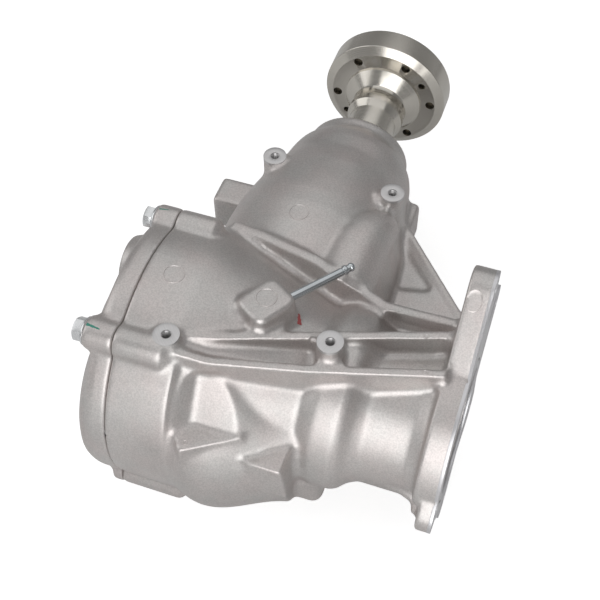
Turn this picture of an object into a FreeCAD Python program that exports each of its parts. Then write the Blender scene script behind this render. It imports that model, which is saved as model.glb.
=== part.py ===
import FreeCAD, Part
import math
import os

import Sketcher
from FreeCAD import Placement, Rotation, Vector

# Right-angle transfer case. Origin: the point where the input axis (X) and the output axis (Y) cross.
# +X points to the mounting face, +Y to the output flange, +Z up. Lengths in mm, angles in degrees.
DIMENSIONS = {
    # Barrel that holds the ring gear, turned about X
    "parting_x": -81.0,
    "case_wall": 10.0,
    "barrel_step_x": -34.0,
    "shoulder_step": 5.5,
    "waist_x": 43.0,
    "waist_radius": 62.0,
    "gear_room_radius": 88.0,
    # Bearing bulge, neck and mounting flange
    "bulge_radius": 67.0,
    "bulge_start_x": 56.0,
    "bulge_end_x": 71.0,
    "neck_radius": 55.5,
    "neck_start_x": 89.0,
    "neck_bore_radius": 47.0,
    "face_x": 148.8,
    "flange_thickness": 17.8,
    "flange_radius": 66.0,
    "lobe_radius": 15.5,
    "lobe_bolt_radius": 5.5,
    # Pinion housing, turned about Y
    "bottle_radius": 70.0,
    "bottle_offset": -4.5,
    "bottle_start_y": 52.0,
    "bottle_full_y": 112.0,
    "nose_y": 235.0,
    "nose_radius": 43.7,
    "nose_collar": 10.0,
    # Cover and its bolts
    "cover_rim": 17.0,
    "cover_bolt_stand": 5.0,
    "cover_dome": 19.0,
    "cover_lip": 7.0,
    "fit_clearance": 0.05,
    "bolt_inset": 2.5,
    "bolt_boss_radius": 11.8,
    "cover_bolt_radius": 5.0,
    "cover_bolt_reach": 20.0,
    "cover_hex_flats": 15.0,
    "cover_bolt_head": 9.0,
    "bolt_flange_radius": 10.2,
    # Bosses with a threaded hole, turned about Z
    "boss_radius": 9.2,
    "boss_thread_radius": 3.4,
    "boss_thread_depth": 12.0,
    # Ribs
    "rib_thickness": 6.5,
    "ridge_thickness": 8.0,
    "web_thickness": 9.0,
    # Breather
    "breather_top": 92.0,
    "breather_length": 34.0,
    "breather_width": 28.0,
    "breather_turn": 57.0,
    "tube_radius": 3.0,
    "tube_bore_radius": 1.9,
    "tube_turn": 51.0,
    "tube_reach": 48.5,
    "tube_depth": 12.0,
    "tube_drop": 8.0,
    "tube_base_x": 19.5,
    "tube_base_y": 15.8,
    # Input shaft
    "shaft_bore_radius": 22.0,
    "shaft_start_x": -113.0,
    "shaft_end_x": 140.0,
    "socket_start_x": 112.0,
    "socket_radius": 25.0,
    "spline_depth": 1.6,
    "spline_count": 26.0,
    "shaft_body_radius": 36.0,
    "shaft_flange": 12.0,
    # Bevel gears
    "ring_teeth": 31.0,
    "pinion_teeth": 13.0,
    "ring_gear_gap": 8.0,
    "face_share": 0.30,
    "pressure_angle": 20.0,
    "pinion_addendum": 6.0,
    "ring_addendum": 4.0,
    "tip_clearance": 1.0,
    "backlash": 0.5,
    "ring_back_x": -58.0,
    "ring_bolt_count": 8.0,
    "ring_bolt_radius": 5.0,
    "ring_bolt_depth": 13.0,
    # Taper roller bearings on the input shaft
    "input_bearing_bore": 30.0,
    "input_bearing_outer": 55.0,
    "input_bearing_width": 24.0,
    "input_roller_centre": 43.0,
    "input_roller_radius": 5.2,
    "input_rollers": 20.0,
    "cover_cone_back_x": -76.0,
    "neck_cone_back_x": 49.0,
    # Taper roller bearings on the pinion shaft
    "head_bearing_bore": 20.0,
    "head_bearing_outer": 45.0,
    "head_bearing_width": 25.0,
    "head_roller_centre": 32.5,
    "head_roller_radius": 5.4,
    "head_rollers": 15.0,
    "head_cone_gap": 12.0,
    "tail_bearing_bore": 15.0,
    "tail_bearing_outer": 36.0,
    "tail_bearing_width": 21.0,
    "tail_roller_centre": 25.6,
    "tail_roller_radius": 4.6,
    "tail_rollers": 13.0,
    "tail_cone_back_y": 204.0,
    "roller_tilt": 14.0,
    "race_clearance": 0.12,
    "seat_clearance": 0.02,
    "shim_thickness": 2.0,
    # Seals
    "seal_gap": 0.3,
    "pinion_seal_width": 10.0,
    "shaft_seal_width": 10.0,
    "neck_seal_x": 118.0,
    "cover_seal_outer": 42.0,
    # Output flange
    "output_radius": 55.0,
    "output_thickness": 26.0,
    "output_face_y": 336.0,
    "output_hub_radius": 21.0,
    "output_neck_radius": 24.7,
    "output_cone_radius": 34.6,
    "output_bolt_circle": 43.0,
    "output_bolt_radius": 4.0,
    "output_bolt_count": 6.0,
    "output_pilot_radius": 30.0,
    "output_pilot_depth": 8.0,
    "nut_room_radius": 22.0,
    "nut_seat_y": 303.0,
    "nut_flats": 32.0,
    "nut_height": 18.0,
    "washer_thickness": 3.0,
    "pinion_spline_radius": 14.4,
    "pinion_thread_radius": 11.0,
    # Oil plugs
    "plug_radius": 9.0,
    "plug_head_flats": 22.0,
    "plug_head_height": 8.0,
    "plug_length": 14.0,
    "plug_boss_radius": 17.0,
    "plug_washer": 1.5,
}

# Angle from +Z towards +Y of each cover bolt, inner end of its boss, and how far its seat stands off the cover
COVER_BOLTS = [
    (33.0, -48.0, 0.0),
    (-34.0, -42.0, 5.0),
    (-144.0, -42.0, 0.0),
    (172.0, -45.0, 5.0),
    (103.0, -45.0, 5.0),
]

# Centre (y, z) of each lobe of the mounting flange and how much thinner it is than the flange
FLANGE_LOBES = [
    (55.0, 93.0, 0.0),
    (98.0, 24.0, 0.0),
    (60.0, -66.0, 0.0),
    (-14.0, -82.0, 0.0),
    (-62.0, -10.0, 6.0),
]

# Centre and top of each threaded boss, and where its column starts
BOSSES = [
    (-48.0, 161.0, 56.0, 0.0),
    (51.0, 153.0, 56.0, 0.0),
    (-48.0, -46.0, 91.0, 60.0),
    (55.0, -13.5, 86.0, 40.0),
]

# Radius and floor of the scoop beside each boss on the pinion housing
SCOOPS = [(13.0, 45.0), (15.0, 47.0)]

doc = FreeCAD.newDocument("TransferCase")


class Size:
    """A number together with the sheet formula that gives it."""

    def __init__(self, number, formula):
        self.number = float(number)
        self.formula = formula

    def __float__(self):
        return self.number

    def __neg__(self):
        return Size(-self.number, "(-" + self.formula + ")")

    def __add__(self, other):
        return joined(self, "+", other, float(self) + float(other))

    def __radd__(self, other):
        return joined(other, "+", self, float(other) + float(self))

    def __sub__(self, other):
        return joined(self, "-", other, float(self) - float(other))

    def __rsub__(self, other):
        return joined(other, "-", self, float(other) - float(self))

    def __mul__(self, other):
        return joined(self, "*", other, float(self) * float(other))

    def __rmul__(self, other):
        return joined(other, "*", self, float(other) * float(self))

    def __truediv__(self, other):
        return joined(self, "/", other, float(self) / float(other))


def formula_of(value):
    return value.formula if isinstance(value, Size) else repr(float(value))


def joined(left, sign, right, number):
    return Size(number, "(" + formula_of(left) + " " + sign + " " + formula_of(right) + ")")


def trig(name, angle):
    """Sine, cosine or tangent of an angle in degrees."""
    number = getattr(math, name)(math.radians(float(angle)))
    return Size(number, name + "(" + formula_of(angle) + ")")


class Sizes:
    """Every driving dimension, written to the sheet and read back by name."""

    def __init__(self, dimensions):
        sheet = doc.addObject("Spreadsheet::Sheet", "Sizes")
        for row, (name, number) in enumerate(dimensions.items(), start=1):
            sheet.set("A%d" % row, name)
            sheet.set("B%d" % row, str(number))
            sheet.setAlias("B%d" % row, name)
            setattr(self, name, Size(number, "Sizes." + name))


d = Sizes(DIMENSIONS)
doc.recompute()

# Sizes that follow from the gear room: the wall round it and the gear train inside
d.barrel_radius = d.gear_room_radius + d.case_wall
d.shoulder_radius = d.barrel_radius - d.shoulder_step
d.lug_circle = d.barrel_radius - 6.0
d.bolt_circle = d.barrel_radius - d.bolt_inset
d.ring_pitch_radius = d.gear_room_radius - d.ring_gear_gap
d.ring_bore_radius = d.ring_pitch_radius * 0.6
d.ring_bolt_circle = d.ring_pitch_radius * 0.78125
d.shaft_flange_radius = d.ring_pitch_radius * 0.9125
d.head_cone_back_y = d.ring_pitch_radius + d.head_cone_gap

TURN = {"X": Rotation(Vector(0, 1, 0), 90), "Y": Rotation(Vector(1, 0, 0), -90), "Z": Rotation()}
WAY = {"X": Vector(1, 0, 0), "Y": Vector(0, 1, 0), "Z": Vector(0, 0, 1)}


def bind(item, path, value):
    """Sets a property and ties it to the sheet where the value comes from there."""
    if isinstance(value, Size):
        item.setExpression(path, value.formula)


def place(item, axis, start, across):
    """Puts a primitive that is made along Z at its start on the named axis."""
    spots = {"X": (start, across[0], across[1]), "Y": (across[0], start, across[1]),
             "Z": (across[0], across[1], start)}[axis]
    item.Placement = Placement(Vector(*[float(spot) for spot in spots]), TURN[axis])
    for letter, spot in zip("xyz", spots):
        bind(item, "Placement.Base." + letter, spot)


def cylinder(name, axis, radius, start, end, across=(0.0, 0.0)):
    item = doc.addObject("Part::Cylinder", name)
    item.Radius = float(radius)
    item.Height = float(end) - float(start)
    bind(item, "Radius", radius)
    bind(item, "Height", joined(end, "-", start, float(end) - float(start)))
    place(item, axis, start, across)
    return item


def frustum(name, axis, radius_start, radius_end, start, end, across=(0.0, 0.0)):
    item = doc.addObject("Part::Cone", name)
    item.Radius1 = float(radius_start)
    item.Radius2 = float(radius_end)
    item.Height = float(end) - float(start)
    bind(item, "Radius1", radius_start)
    bind(item, "Radius2", radius_end)
    bind(item, "Height", joined(end, "-", start, float(end) - float(start)))
    place(item, axis, start, across)
    return item


def fuse(name, shapes):
    item = doc.addObject("Part::MultiFuse", name)
    item.Shapes = shapes
    return item


def cut(name, base, tools):
    item = doc.addObject("Part::Cut", name)
    item.Base = base
    item.Tool = tools[0] if len(tools) == 1 else fuse(name + "_tools", tools)
    return item


def feature(name, shape):
    """A shape worked out in code, for forms that the primitives do not give."""
    item = doc.addObject("Part::Feature", name)
    item.Shape = shape
    return item


def turned(name, axis, profile):
    """A body turned about X or Y from its profile of (distance along the axis, radius) points."""
    body = doc.addObject("PartDesign::Body", name)
    sketch = body.newObject("Sketcher::SketchObject", name + "_profile")
    plane = [item for item in body.Origin.OriginFeatures if item.Role == "XY_Plane"][0]
    sketch.AttachmentSupport = [(plane, "")]
    sketch.MapMode = "FlatFace"
    corners = profile if axis == "X" else [(radius, along) for along, radius in profile]
    spots = [Vector(float(u), float(v), 0) for u, v in corners]
    count = len(corners)
    for i in range(count):
        sketch.addGeometry(Part.LineSegment(spots[i], spots[(i + 1) % count]), False)
    for i in range(count):
        sketch.addConstraint(Sketcher.Constraint("Coincident", i, 2, (i + 1) % count, 1))
    for i, corner in enumerate(corners):
        for kind, value in zip(("DistanceX", "DistanceY"), corner):
            number = sketch.addConstraint(Sketcher.Constraint(kind, -1, 1, i, 1, float(value)))
            bind(sketch, "Constraints[%d]" % number, value)
    spin = body.newObject("PartDesign::Revolution", name + "_turn")
    spin.Profile = sketch
    spin.ReferenceAxis = (sketch, ["H_Axis" if axis == "X" else "V_Axis"])
    spin.Angle = 360
    return body


def ring_points(radius, count, start=0.0):
    """Places (first, second) evenly round a circle, the first at the start angle."""
    steps = int(float(count))
    return [(radius * trig("cos", start + 360.0 * i / steps), radius * trig("sin", start + 360.0 * i / steps))
            for i in range(steps)]


def prism(corners, low, high):
    """A column along Z over a flat outline of (x, y) corners."""
    wire = Part.makePolygon([Vector(x, y, low) for x, y in corners + corners[:1]])
    return Part.Face(wire).extrude(Vector(0, 0, high - low))


def tapered(foot, low, top, high):
    """A column along Z whose outline changes from the foot's corners to the top's."""
    wires = [Part.makePolygon([Vector(x, y, level) for x, y in corners + corners[:1]])
             for corners, level in ((foot, low), (top, high))]
    return Part.makeLoft(wires, True, True)


def wall(start, end, thickness, foot):
    """An upright wall from one top point (x, y, z) to another, standing on the foot level."""
    a = Vector(start[0], start[1], foot)
    b = Vector(end[0], end[1], foot)
    side = (b - a).cross(Vector(0, 0, 1)).normalize() * (thickness / 2.0)
    corners = [a, b, Vector(*end), Vector(*start), a]
    face = Part.Face(Part.makePolygon([corner - side for corner in corners]))
    return face.extrude(side * 2.0)


def link(first, second, radius_first, radius_second):
    """The flat outline, as points, of two circles and the lines that touch both."""
    gap = math.hypot(second[0] - first[0], second[1] - first[1])
    heading = math.atan2(second[1] - first[1], second[0] - first[0])
    open_angle = math.acos((radius_first - radius_second) / gap)
    points = []
    for centre, radius, begin, end in (
            (second, radius_second, -open_angle, open_angle),
            (first, radius_first, open_angle, 2.0 * math.pi - open_angle)):
        steps = 24
        for i in range(steps + 1):
            angle = heading + begin + (end - begin) * i / steps
            points.append((centre[0] + radius * math.cos(angle), centre[1] + radius * math.sin(angle)))
    return points


def plate_x(outline, low, high):
    """A plate between two X levels over a flat outline of (y, z) points."""
    wire = Part.makePolygon([Vector(low, y, z) for y, z in outline + outline[:1]])
    return Part.Face(wire).extrude(Vector(high - low, 0, 0))


# Taper roller bearing. Its cone backs on to a shoulder, and its rollers narrow away from it.
class Bearing:
    def __init__(self, name, axis, back, way, bore, outer, width, centre, roller, count):
        self.name, self.axis, self.back, self.way = name, axis, back, way
        self.bore, self.outer, self.width = bore, outer, width
        self.centre, self.roller, self.count = centre, roller, count
        self.middle = width * 0.5 - 0.5
        self.half = (width - 9.0) * 0.5
        self.narrowing = roller * trig("sin", d.roller_tilt) / centre
        self.slope = trig("tan", d.roller_tilt)

    def at(self, along):
        return self.back + self.way * along

    def race(self, along, side):
        """Radius of the race on the cone (side -1) or on the cup (side 1)."""
        offset = (self.roller + d.race_clearance) / trig("cos", d.roller_tilt)
        steep = self.slope + side * self.narrowing
        return self.centre + side * offset - (along - self.middle) * steep

    def cone(self):
        first = self.middle - self.half - 0.5 - self.roller * trig("sin", d.roller_tilt)
        last = self.middle + self.half + 0.3
        front = self.width - 2.5
        return turned(self.name + "_cone", self.axis, [
            (self.at(0.0), self.bore),
            (self.at(0.0), self.race(first, -1) + 2.4),
            (self.at(first), self.race(first, -1) + 2.4),
            (self.at(first), self.race(first, -1)),
            (self.at(last), self.race(last, -1)),
            (self.at(last), self.race(last, -1) + 1.0),
            (self.at(front), self.race(last, -1) + 1.0),
            (self.at(front), self.bore)])

    def cup(self):
        start = 3.5
        return turned(self.name + "_cup", self.axis, [
            (self.at(start), self.outer),
            (self.at(start), self.race(start, 1)),
            (self.at(self.width), self.race(self.width, 1)),
            (self.at(self.width), self.outer)])

    def roller_shapes(self, extra):
        tilt = math.radians(float(d.roller_tilt))
        length = 2.0 * float(self.half) / math.cos(tilt) + 2.0 * extra
        drop = float(self.narrowing) * length / 2.0
        radius = float(self.roller)
        shapes = []
        for i in range(int(float(self.count))):
            shape = Part.makeCone(radius + drop + extra, radius - drop + extra, length, Vector(0, 0, -length / 2.0))
            shape.rotate(Vector(0, 0, 0), Vector(0, 1, 0), -float(d.roller_tilt))
            shape.translate(Vector(float(self.centre), 0, 0))
            shape.rotate(Vector(0, 0, 0), Vector(0, 0, 1), 360.0 * i / float(self.count))
            if self.way < 0:
                shape.rotate(Vector(0, 0, 0), Vector(1, 0, 0), 180.0)
            shape.Placement = Placement(WAY[self.axis] * float(self.at(self.middle)), TURN[self.axis]).multiply(
                shape.Placement)
            shapes.append(shape)
        return shapes

    def rollers(self):
        return feature(self.name + "_rollers", Part.makeCompound(self.roller_shapes(0.0)))

    def cage(self):
        inner = 0.3
        thick = 1.5
        first = self.middle - self.half - 1.4
        last = self.middle + self.half + 1.8

        def radius(along):
            return self.centre - (along - self.middle) * self.slope

        hoop = turned(self.name + "_cage_hoop", self.axis, [
            (self.at(first), radius(first) + inner),
            (self.at(first), radius(first) + inner + thick),
            (self.at(last), radius(last) + inner + thick),
            (self.at(last), radius(last) + inner)])
        windows = feature(self.name + "_windows", Part.makeCompound(self.roller_shapes(0.25)))
        return cut(self.name + "_cage", hoop, [windows])

    def pieces(self):
        return [self.cone(), self.cup(), self.rollers(), self.cage()]


def bearings():
    cover = Bearing("cover_bearing", "X", d.cover_cone_back_x, -1, d.input_bearing_bore, d.input_bearing_outer,
                    d.input_bearing_width, d.input_roller_centre, d.input_roller_radius, d.input_rollers)
    neck = Bearing("neck_bearing", "X", d.neck_cone_back_x, 1, d.input_bearing_bore, d.input_bearing_outer,
                   d.input_bearing_width, d.input_roller_centre, d.input_roller_radius, d.input_rollers)
    head = Bearing("pinion_head_bearing", "Y", d.head_cone_back_y, 1, d.head_bearing_bore, d.head_bearing_outer,
                   d.head_bearing_width, d.head_roller_centre, d.head_roller_radius, d.head_rollers)
    tail = Bearing("pinion_tail_bearing", "Y", d.tail_cone_back_y, -1, d.tail_bearing_bore, d.tail_bearing_outer,
                   d.tail_bearing_width, d.tail_roller_centre, d.tail_roller_radius, d.tail_rollers)
    return cover, neck, head, tail


def involute(angle):
    return math.tan(angle) - angle


# Straight bevel gears that share the origin as their apex
class BevelGear:
    def __init__(self, teeth, mate, pitch_radius, addendum, dedendum, thinner):
        self.teeth = int(teeth)
        self.cone = math.atan2(teeth, mate)
        self.heel = pitch_radius / math.sin(self.cone)
        self.toe_scale = 1.0 - float(d.face_share)
        self.virtual = pitch_radius / math.cos(self.cone)
        self.addendum = addendum
        self.dedendum = dedendum
        self.half_angle = (math.pi * pitch_radius / self.teeth / 2.0 + thinner) / self.virtual

    def flank(self, radius):
        """Half the tooth's angle on the developed back cone at a radius."""
        base = self.virtual * math.cos(math.radians(float(d.pressure_angle)))
        pitch = involute(math.acos(base / self.virtual))
        here = involute(math.acos(base / radius)) if radius > base else 0.0
        return self.half_angle + pitch - here

    def tooth(self, turn):
        """One tooth about Z with its pitch cone opening towards +Z, turned by an angle."""
        low = self.virtual - self.dedendum - 0.8
        high = self.virtual + self.addendum
        steps = 6
        side = [(low + (high - low) * i / steps) for i in range(steps + 1)]
        outline = [(radius, self.flank(radius)) for radius in side]
        outline += [(radius, -angle) for radius, angle in reversed(outline)]
        along = Vector(math.sin(self.cone), 0, math.cos(self.cone))
        outward = Vector(math.cos(self.cone), 0, -math.sin(self.cone))
        corners = []
        for radius, angle in outline:
            level = radius * math.cos(angle) - self.virtual
            shift = radius * math.sin(angle)
            corners.append(along * self.heel + outward * level + Vector(0, shift, 0))
        wires = [Part.makePolygon([corner * scale for corner in corners + corners[:1]])
                 for scale in (1.0, self.toe_scale)]
        shape = Part.makeLoft(wires, True, True)
        shape.rotate(Vector(0, 0, 0), Vector(0, 0, 1), turn)
        return shape

    def teeth_shapes(self, first):
        return [self.tooth(first + 360.0 * i / self.teeth) for i in range(self.teeth)]

    def spot(self, share, height):
        """Distance along the axis and radius of a point on the tooth's middle plane."""
        reach = self.heel * share
        return (reach * math.cos(self.cone) - height * share * math.sin(self.cone),
                reach * math.sin(self.cone) + height * share * math.cos(self.cone))


def gear_pair():
    ratio = float(d.pinion_teeth) / float(d.ring_teeth)
    pinion_radius = float(d.ring_pitch_radius) * ratio
    clearance = float(d.tip_clearance)
    thinner = 0.55
    slack = float(d.backlash) / 4.0
    ring = BevelGear(float(d.ring_teeth), float(d.pinion_teeth), float(d.ring_pitch_radius),
                     float(d.ring_addendum), float(d.pinion_addendum) + clearance, -thinner - slack)
    pinion = BevelGear(float(d.pinion_teeth), float(d.ring_teeth), pinion_radius,
                       float(d.pinion_addendum), float(d.ring_addendum) + clearance, thinner - slack)
    return ring, pinion


def revolve_profile(points, axis):
    """Turns (distance along the axis, radius) points into a solid in code."""
    if axis == "X":
        corners = [Vector(along, radius, 0) for along, radius in points]
    else:
        corners = [Vector(radius, along, 0) for along, radius in points]
    face = Part.Face(Part.makePolygon(corners + corners[:1]))
    return face.revolve(Vector(0, 0, 0), WAY[axis], 360)


def ring_gear(ring):
    heel = ring.spot(1.0, -ring.dedendum)
    toe = ring.spot(ring.toe_scale, -ring.dedendum)
    rim = heel[1] + 2.7
    back = float(d.ring_back_x)
    bore = float(d.ring_bore_radius)
    blank = revolve_profile([
        (-toe[0], toe[1]), (-heel[0], heel[1]), (-heel[0] - 2.5, rim), (back, rim), (back, bore),
        (-toe[0] - 2.0, bore)], "X")
    teeth = ring.teeth_shapes(180.0 / ring.teeth)
    half_turn = Rotation(Vector(0, 1, 0), -90)
    for tooth in teeth:
        tooth.Placement = Placement(Vector(0, 0, 0), half_turn).multiply(
            Placement(Vector(0, 0, 0), Rotation(Vector(0, 0, 1), 90))).multiply(tooth.Placement)
    shape = blank.multiFuse(teeth)
    holes = []
    for y, z in ring_points(float(d.ring_bolt_circle), d.ring_bolt_count):
        holes.append(Part.makeCylinder(float(d.ring_bolt_radius + d.fit_clearance),
                                       float(d.ring_bolt_depth) + 2.0,
                                       Vector(back - 1.0, float(y), float(z)), Vector(1, 0, 0)))
    return feature("ring_gear", shape.cut(Part.makeCompound(holes)))


def pinion_shaft(pinion):
    heel = pinion.spot(1.0, -pinion.dedendum)
    toe = pinion.spot(pinion.toe_scale, -pinion.dedendum)
    shim = float(d.head_cone_back_y - d.shim_thickness)
    head = float(d.head_bearing_bore - d.seat_clearance)
    tail = float(d.tail_bearing_bore - d.seat_clearance)
    head_end = float(d.head_cone_back_y + d.head_bearing_width)
    tail_start = float(d.tail_cone_back_y - d.tail_bearing_width)
    spline = float(d.pinion_spline_radius)
    thread = float(d.pinion_thread_radius)
    seat = float(d.nut_seat_y)
    tip = seat + float(d.washer_thickness + d.nut_height) + 1.0
    blank = revolve_profile([
        (toe[0] - 3.0, 0.0), (toe[0] - 3.0, toe[1] - 3.5), (toe[0], toe[1]), (heel[0], heel[1]),
        (heel[0] + 2.5, heel[1] + 0.6), (shim, heel[1] + 0.6), (shim, head), (head_end, head),
        (head_end + 2.0, head - 3.0), (tail_start - 2.0, head - 3.0), (tail_start, tail),
        (float(d.tail_cone_back_y), tail), (float(d.tail_cone_back_y), spline), (seat - 4.0, spline),
        (seat - 3.0, thread), (tip - 1.0, thread), (tip, thread - 1.0), (tip, 0.0)], "Y")
    teeth = pinion.teeth_shapes(180.0)
    for tooth in teeth:
        tooth.Placement = Placement(Vector(0, 0, 0), Rotation(Vector(1, 0, 0), -90)).multiply(tooth.Placement)
    return feature("pinion_shaft", blank.multiFuse(teeth))


def input_shaft():
    flange_start = d.ring_back_x - d.shaft_flange
    journal = d.input_bearing_bore - d.seat_clearance
    neck_cone_end = d.neck_cone_back_x + d.input_bearing_width
    tube = turned("input_shaft_tube", "X", [
        (d.shaft_start_x, d.shaft_bore_radius),
        (d.shaft_start_x, journal - 1.0),
        (d.shaft_start_x + 1.0, journal),
        (d.cover_cone_back_x, journal),
        (d.cover_cone_back_x, d.shaft_body_radius + 2.0),
        (flange_start, d.shaft_body_radius + 2.0),
        (flange_start, d.shaft_flange_radius),
        (d.ring_back_x, d.shaft_flange_radius),
        (d.ring_back_x, d.ring_bore_radius - d.seat_clearance),
        (d.ring_back_x + 16.0, d.ring_bore_radius - d.seat_clearance),
        (d.ring_back_x + 22.0, d.shaft_body_radius),
        (d.neck_cone_back_x, d.shaft_body_radius),
        (d.neck_cone_back_x, journal),
        (neck_cone_end + 1.0, journal),
        (d.shaft_end_x - 1.0, journal),
        (d.shaft_end_x, journal - 1.0),
        (d.shaft_end_x, d.socket_radius),
        (d.socket_start_x, d.socket_radius),
        (d.socket_start_x, d.shaft_bore_radius)])
    holes = [cylinder("ring_bolt_hole_%d" % i, "X", d.ring_bolt_radius + d.fit_clearance,
                      flange_start - 1.0, d.ring_back_x + 1.0, spot)
             for i, spot in enumerate(ring_points(d.ring_bolt_circle, d.ring_bolt_count))]
    grooves = []
    for i in range(int(float(d.spline_count))):
        tooth = Part.makeBox(float(d.shaft_end_x - d.socket_start_x) + 1.0, 3.0, 4.0,
                             Vector(float(d.socket_start_x), -1.5,
                                    float(d.socket_radius + d.spline_depth) - 4.0))
        tooth.rotate(Vector(0, 0, 0), Vector(1, 0, 0), 360.0 * i / float(d.spline_count))
        grooves.append(tooth)
    splines = feature("input_spline_grooves", Part.makeCompound(grooves))
    return cut("input_shaft", tube, [fuse("ring_bolt_holes", holes), splines])


def hexagon(flats, low, high, axis, across=(0.0, 0.0)):
    """A hexagonal prism along an axis, in code."""
    corner = flats / math.sqrt(3.0)
    points = [Vector(corner * math.cos(math.radians(60.0 * i)), corner * math.sin(math.radians(60.0 * i)), 0)
              for i in range(6)]
    shape = Part.Face(Part.makePolygon(points + points[:1])).extrude(Vector(0, 0, high - low))
    shape = shape.common(Part.makeCone(flats * 0.7, flats * 0.5, high - low))
    spots = {"X": (low, across[0], across[1]), "Y": (across[0], low, across[1]),
             "Z": (across[0], across[1], low)}[axis]
    shape.Placement = Placement(Vector(*spots), TURN[axis])
    return shape


def flanged_bolt(seat, way, radius, length, flats, head, flange_radius, axis, across):
    """A bolt whose head stands off its seat against the way it is driven."""
    shank = Part.makeCylinder(radius, length + 1.0, Vector(0, 0, -1.0))
    flange = Part.makeCone(flange_radius - 1.2, flange_radius, 2.5, Vector(0, 0, -2.5))
    hexed = hexagon(flats, 0.0, head - 2.0, "Z")
    hexed.Placement = Placement(Vector(0, 0, -2.0), Rotation(Vector(1, 0, 0), 180))
    shape = shank.fuse([flange, hexed])
    spots = {"X": (seat, across[0], across[1]), "Y": (across[0], seat, across[1]),
             "Z": (across[0], across[1], seat)}[axis]
    flip = Rotation(Vector(1, 0, 0), 0 if way > 0 else 180)
    shape.Placement = Placement(Vector(*spots), TURN[axis].multiply(flip))
    return shape


def round_spot(radius, angle):
    """Place (y, z) at a radius and an angle that runs from +Z towards +Y."""
    return (radius * trig("sin", angle), radius * trig("cos", angle))


def fasteners():
    length = float(d.cover_rim + d.cover_bolt_stand + d.cover_bolt_reach)
    cover_bolts = []
    for angle, _, stand in COVER_BOLTS:
        seat = float(d.parting_x - d.cover_rim) - stand
        spot = [float(value) for value in round_spot(d.bolt_circle, angle)]
        cover_bolts.append(flanged_bolt(seat, 1, float(d.cover_bolt_radius), length, float(d.cover_hex_flats),
                                        float(d.cover_bolt_head), float(d.bolt_flange_radius), "X", spot))
    ring_bolts = []
    flange_start = float(d.ring_back_x - d.shaft_flange)
    for spot in ring_points(d.ring_bolt_circle, d.ring_bolt_count):
        place_yz = [float(value) for value in spot]
        ring_bolts.append(flanged_bolt(flange_start, 1, float(d.ring_bolt_radius),
                                       float(d.shaft_flange + d.ring_bolt_depth) - 1.0, 13.0, 6.5, 7.6, "X",
                                       place_yz))
    return [feature("cover_bolts", Part.makeCompound(cover_bolts)),
            feature("ring_gear_bolts", Part.makeCompound(ring_bolts))]


# Places of the oil plugs: the drain points down from the barrel, the filler points out of the cover
DRAIN_SPOT = (-60.0, -14.0)
DRAIN_STAND = 6.0
FILL_SPOT = (69.0, -41.0)
FILL_STAND = 7.0


def oil_plugs():
    fill_face = float(d.parting_x - d.cover_rim) - FILL_STAND
    drain_face = -float(d.barrel_radius) - DRAIN_STAND
    washer = float(d.plug_washer)
    pieces = []
    for name, face, way, axis, across in (("drain", drain_face, 1, "Z", DRAIN_SPOT),
                                          ("fill", fill_face, 1, "X", FILL_SPOT)):
        radius = float(d.plug_radius)
        plug = flanged_bolt(face - washer, way, radius, float(d.plug_length) + washer, float(d.plug_head_flats),
                            float(d.plug_head_height), radius + 4.0, axis, across)
        ring = Part.makeCylinder(radius + 4.5, washer).cut(Part.makeCylinder(radius + 0.1, washer))
        spots = {"X": (face - washer, across[0], across[1]), "Z": (across[0], across[1], face - washer)}[axis]
        ring.Placement = Placement(Vector(*spots), TURN[axis])
        pieces.append(feature(name + "_plug", plug))
        pieces.append(feature(name + "_washer", ring))
    return pieces


# Dowels between the cover and the housing, by their angle from +Z towards +Y
DOWEL_RADIUS = 3.0
DOWEL_ANGLES = (68.0, -78.0)

# Swell of the cover's front side: its middle, and (height above the rim, radius) of its section
FRONT_SWELL_SPOT = (-25.0, -8.0)
FRONT_SWELL = [(18.5, 38.0), (14.0, 53.0), (10.0, 62.0), (6.0, 68.0), (0.0, 71.0), (-6.0, 72.0)]

# Lug across the parting on the lower front
LUG_ANGLE = -125.0
LUG_RADIUS = 15.2

# Pad on the cover's upper side
UPPER_PAD_SPOT = (26.0, 56.0)
UPPER_PAD_RISE = 14.0


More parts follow.
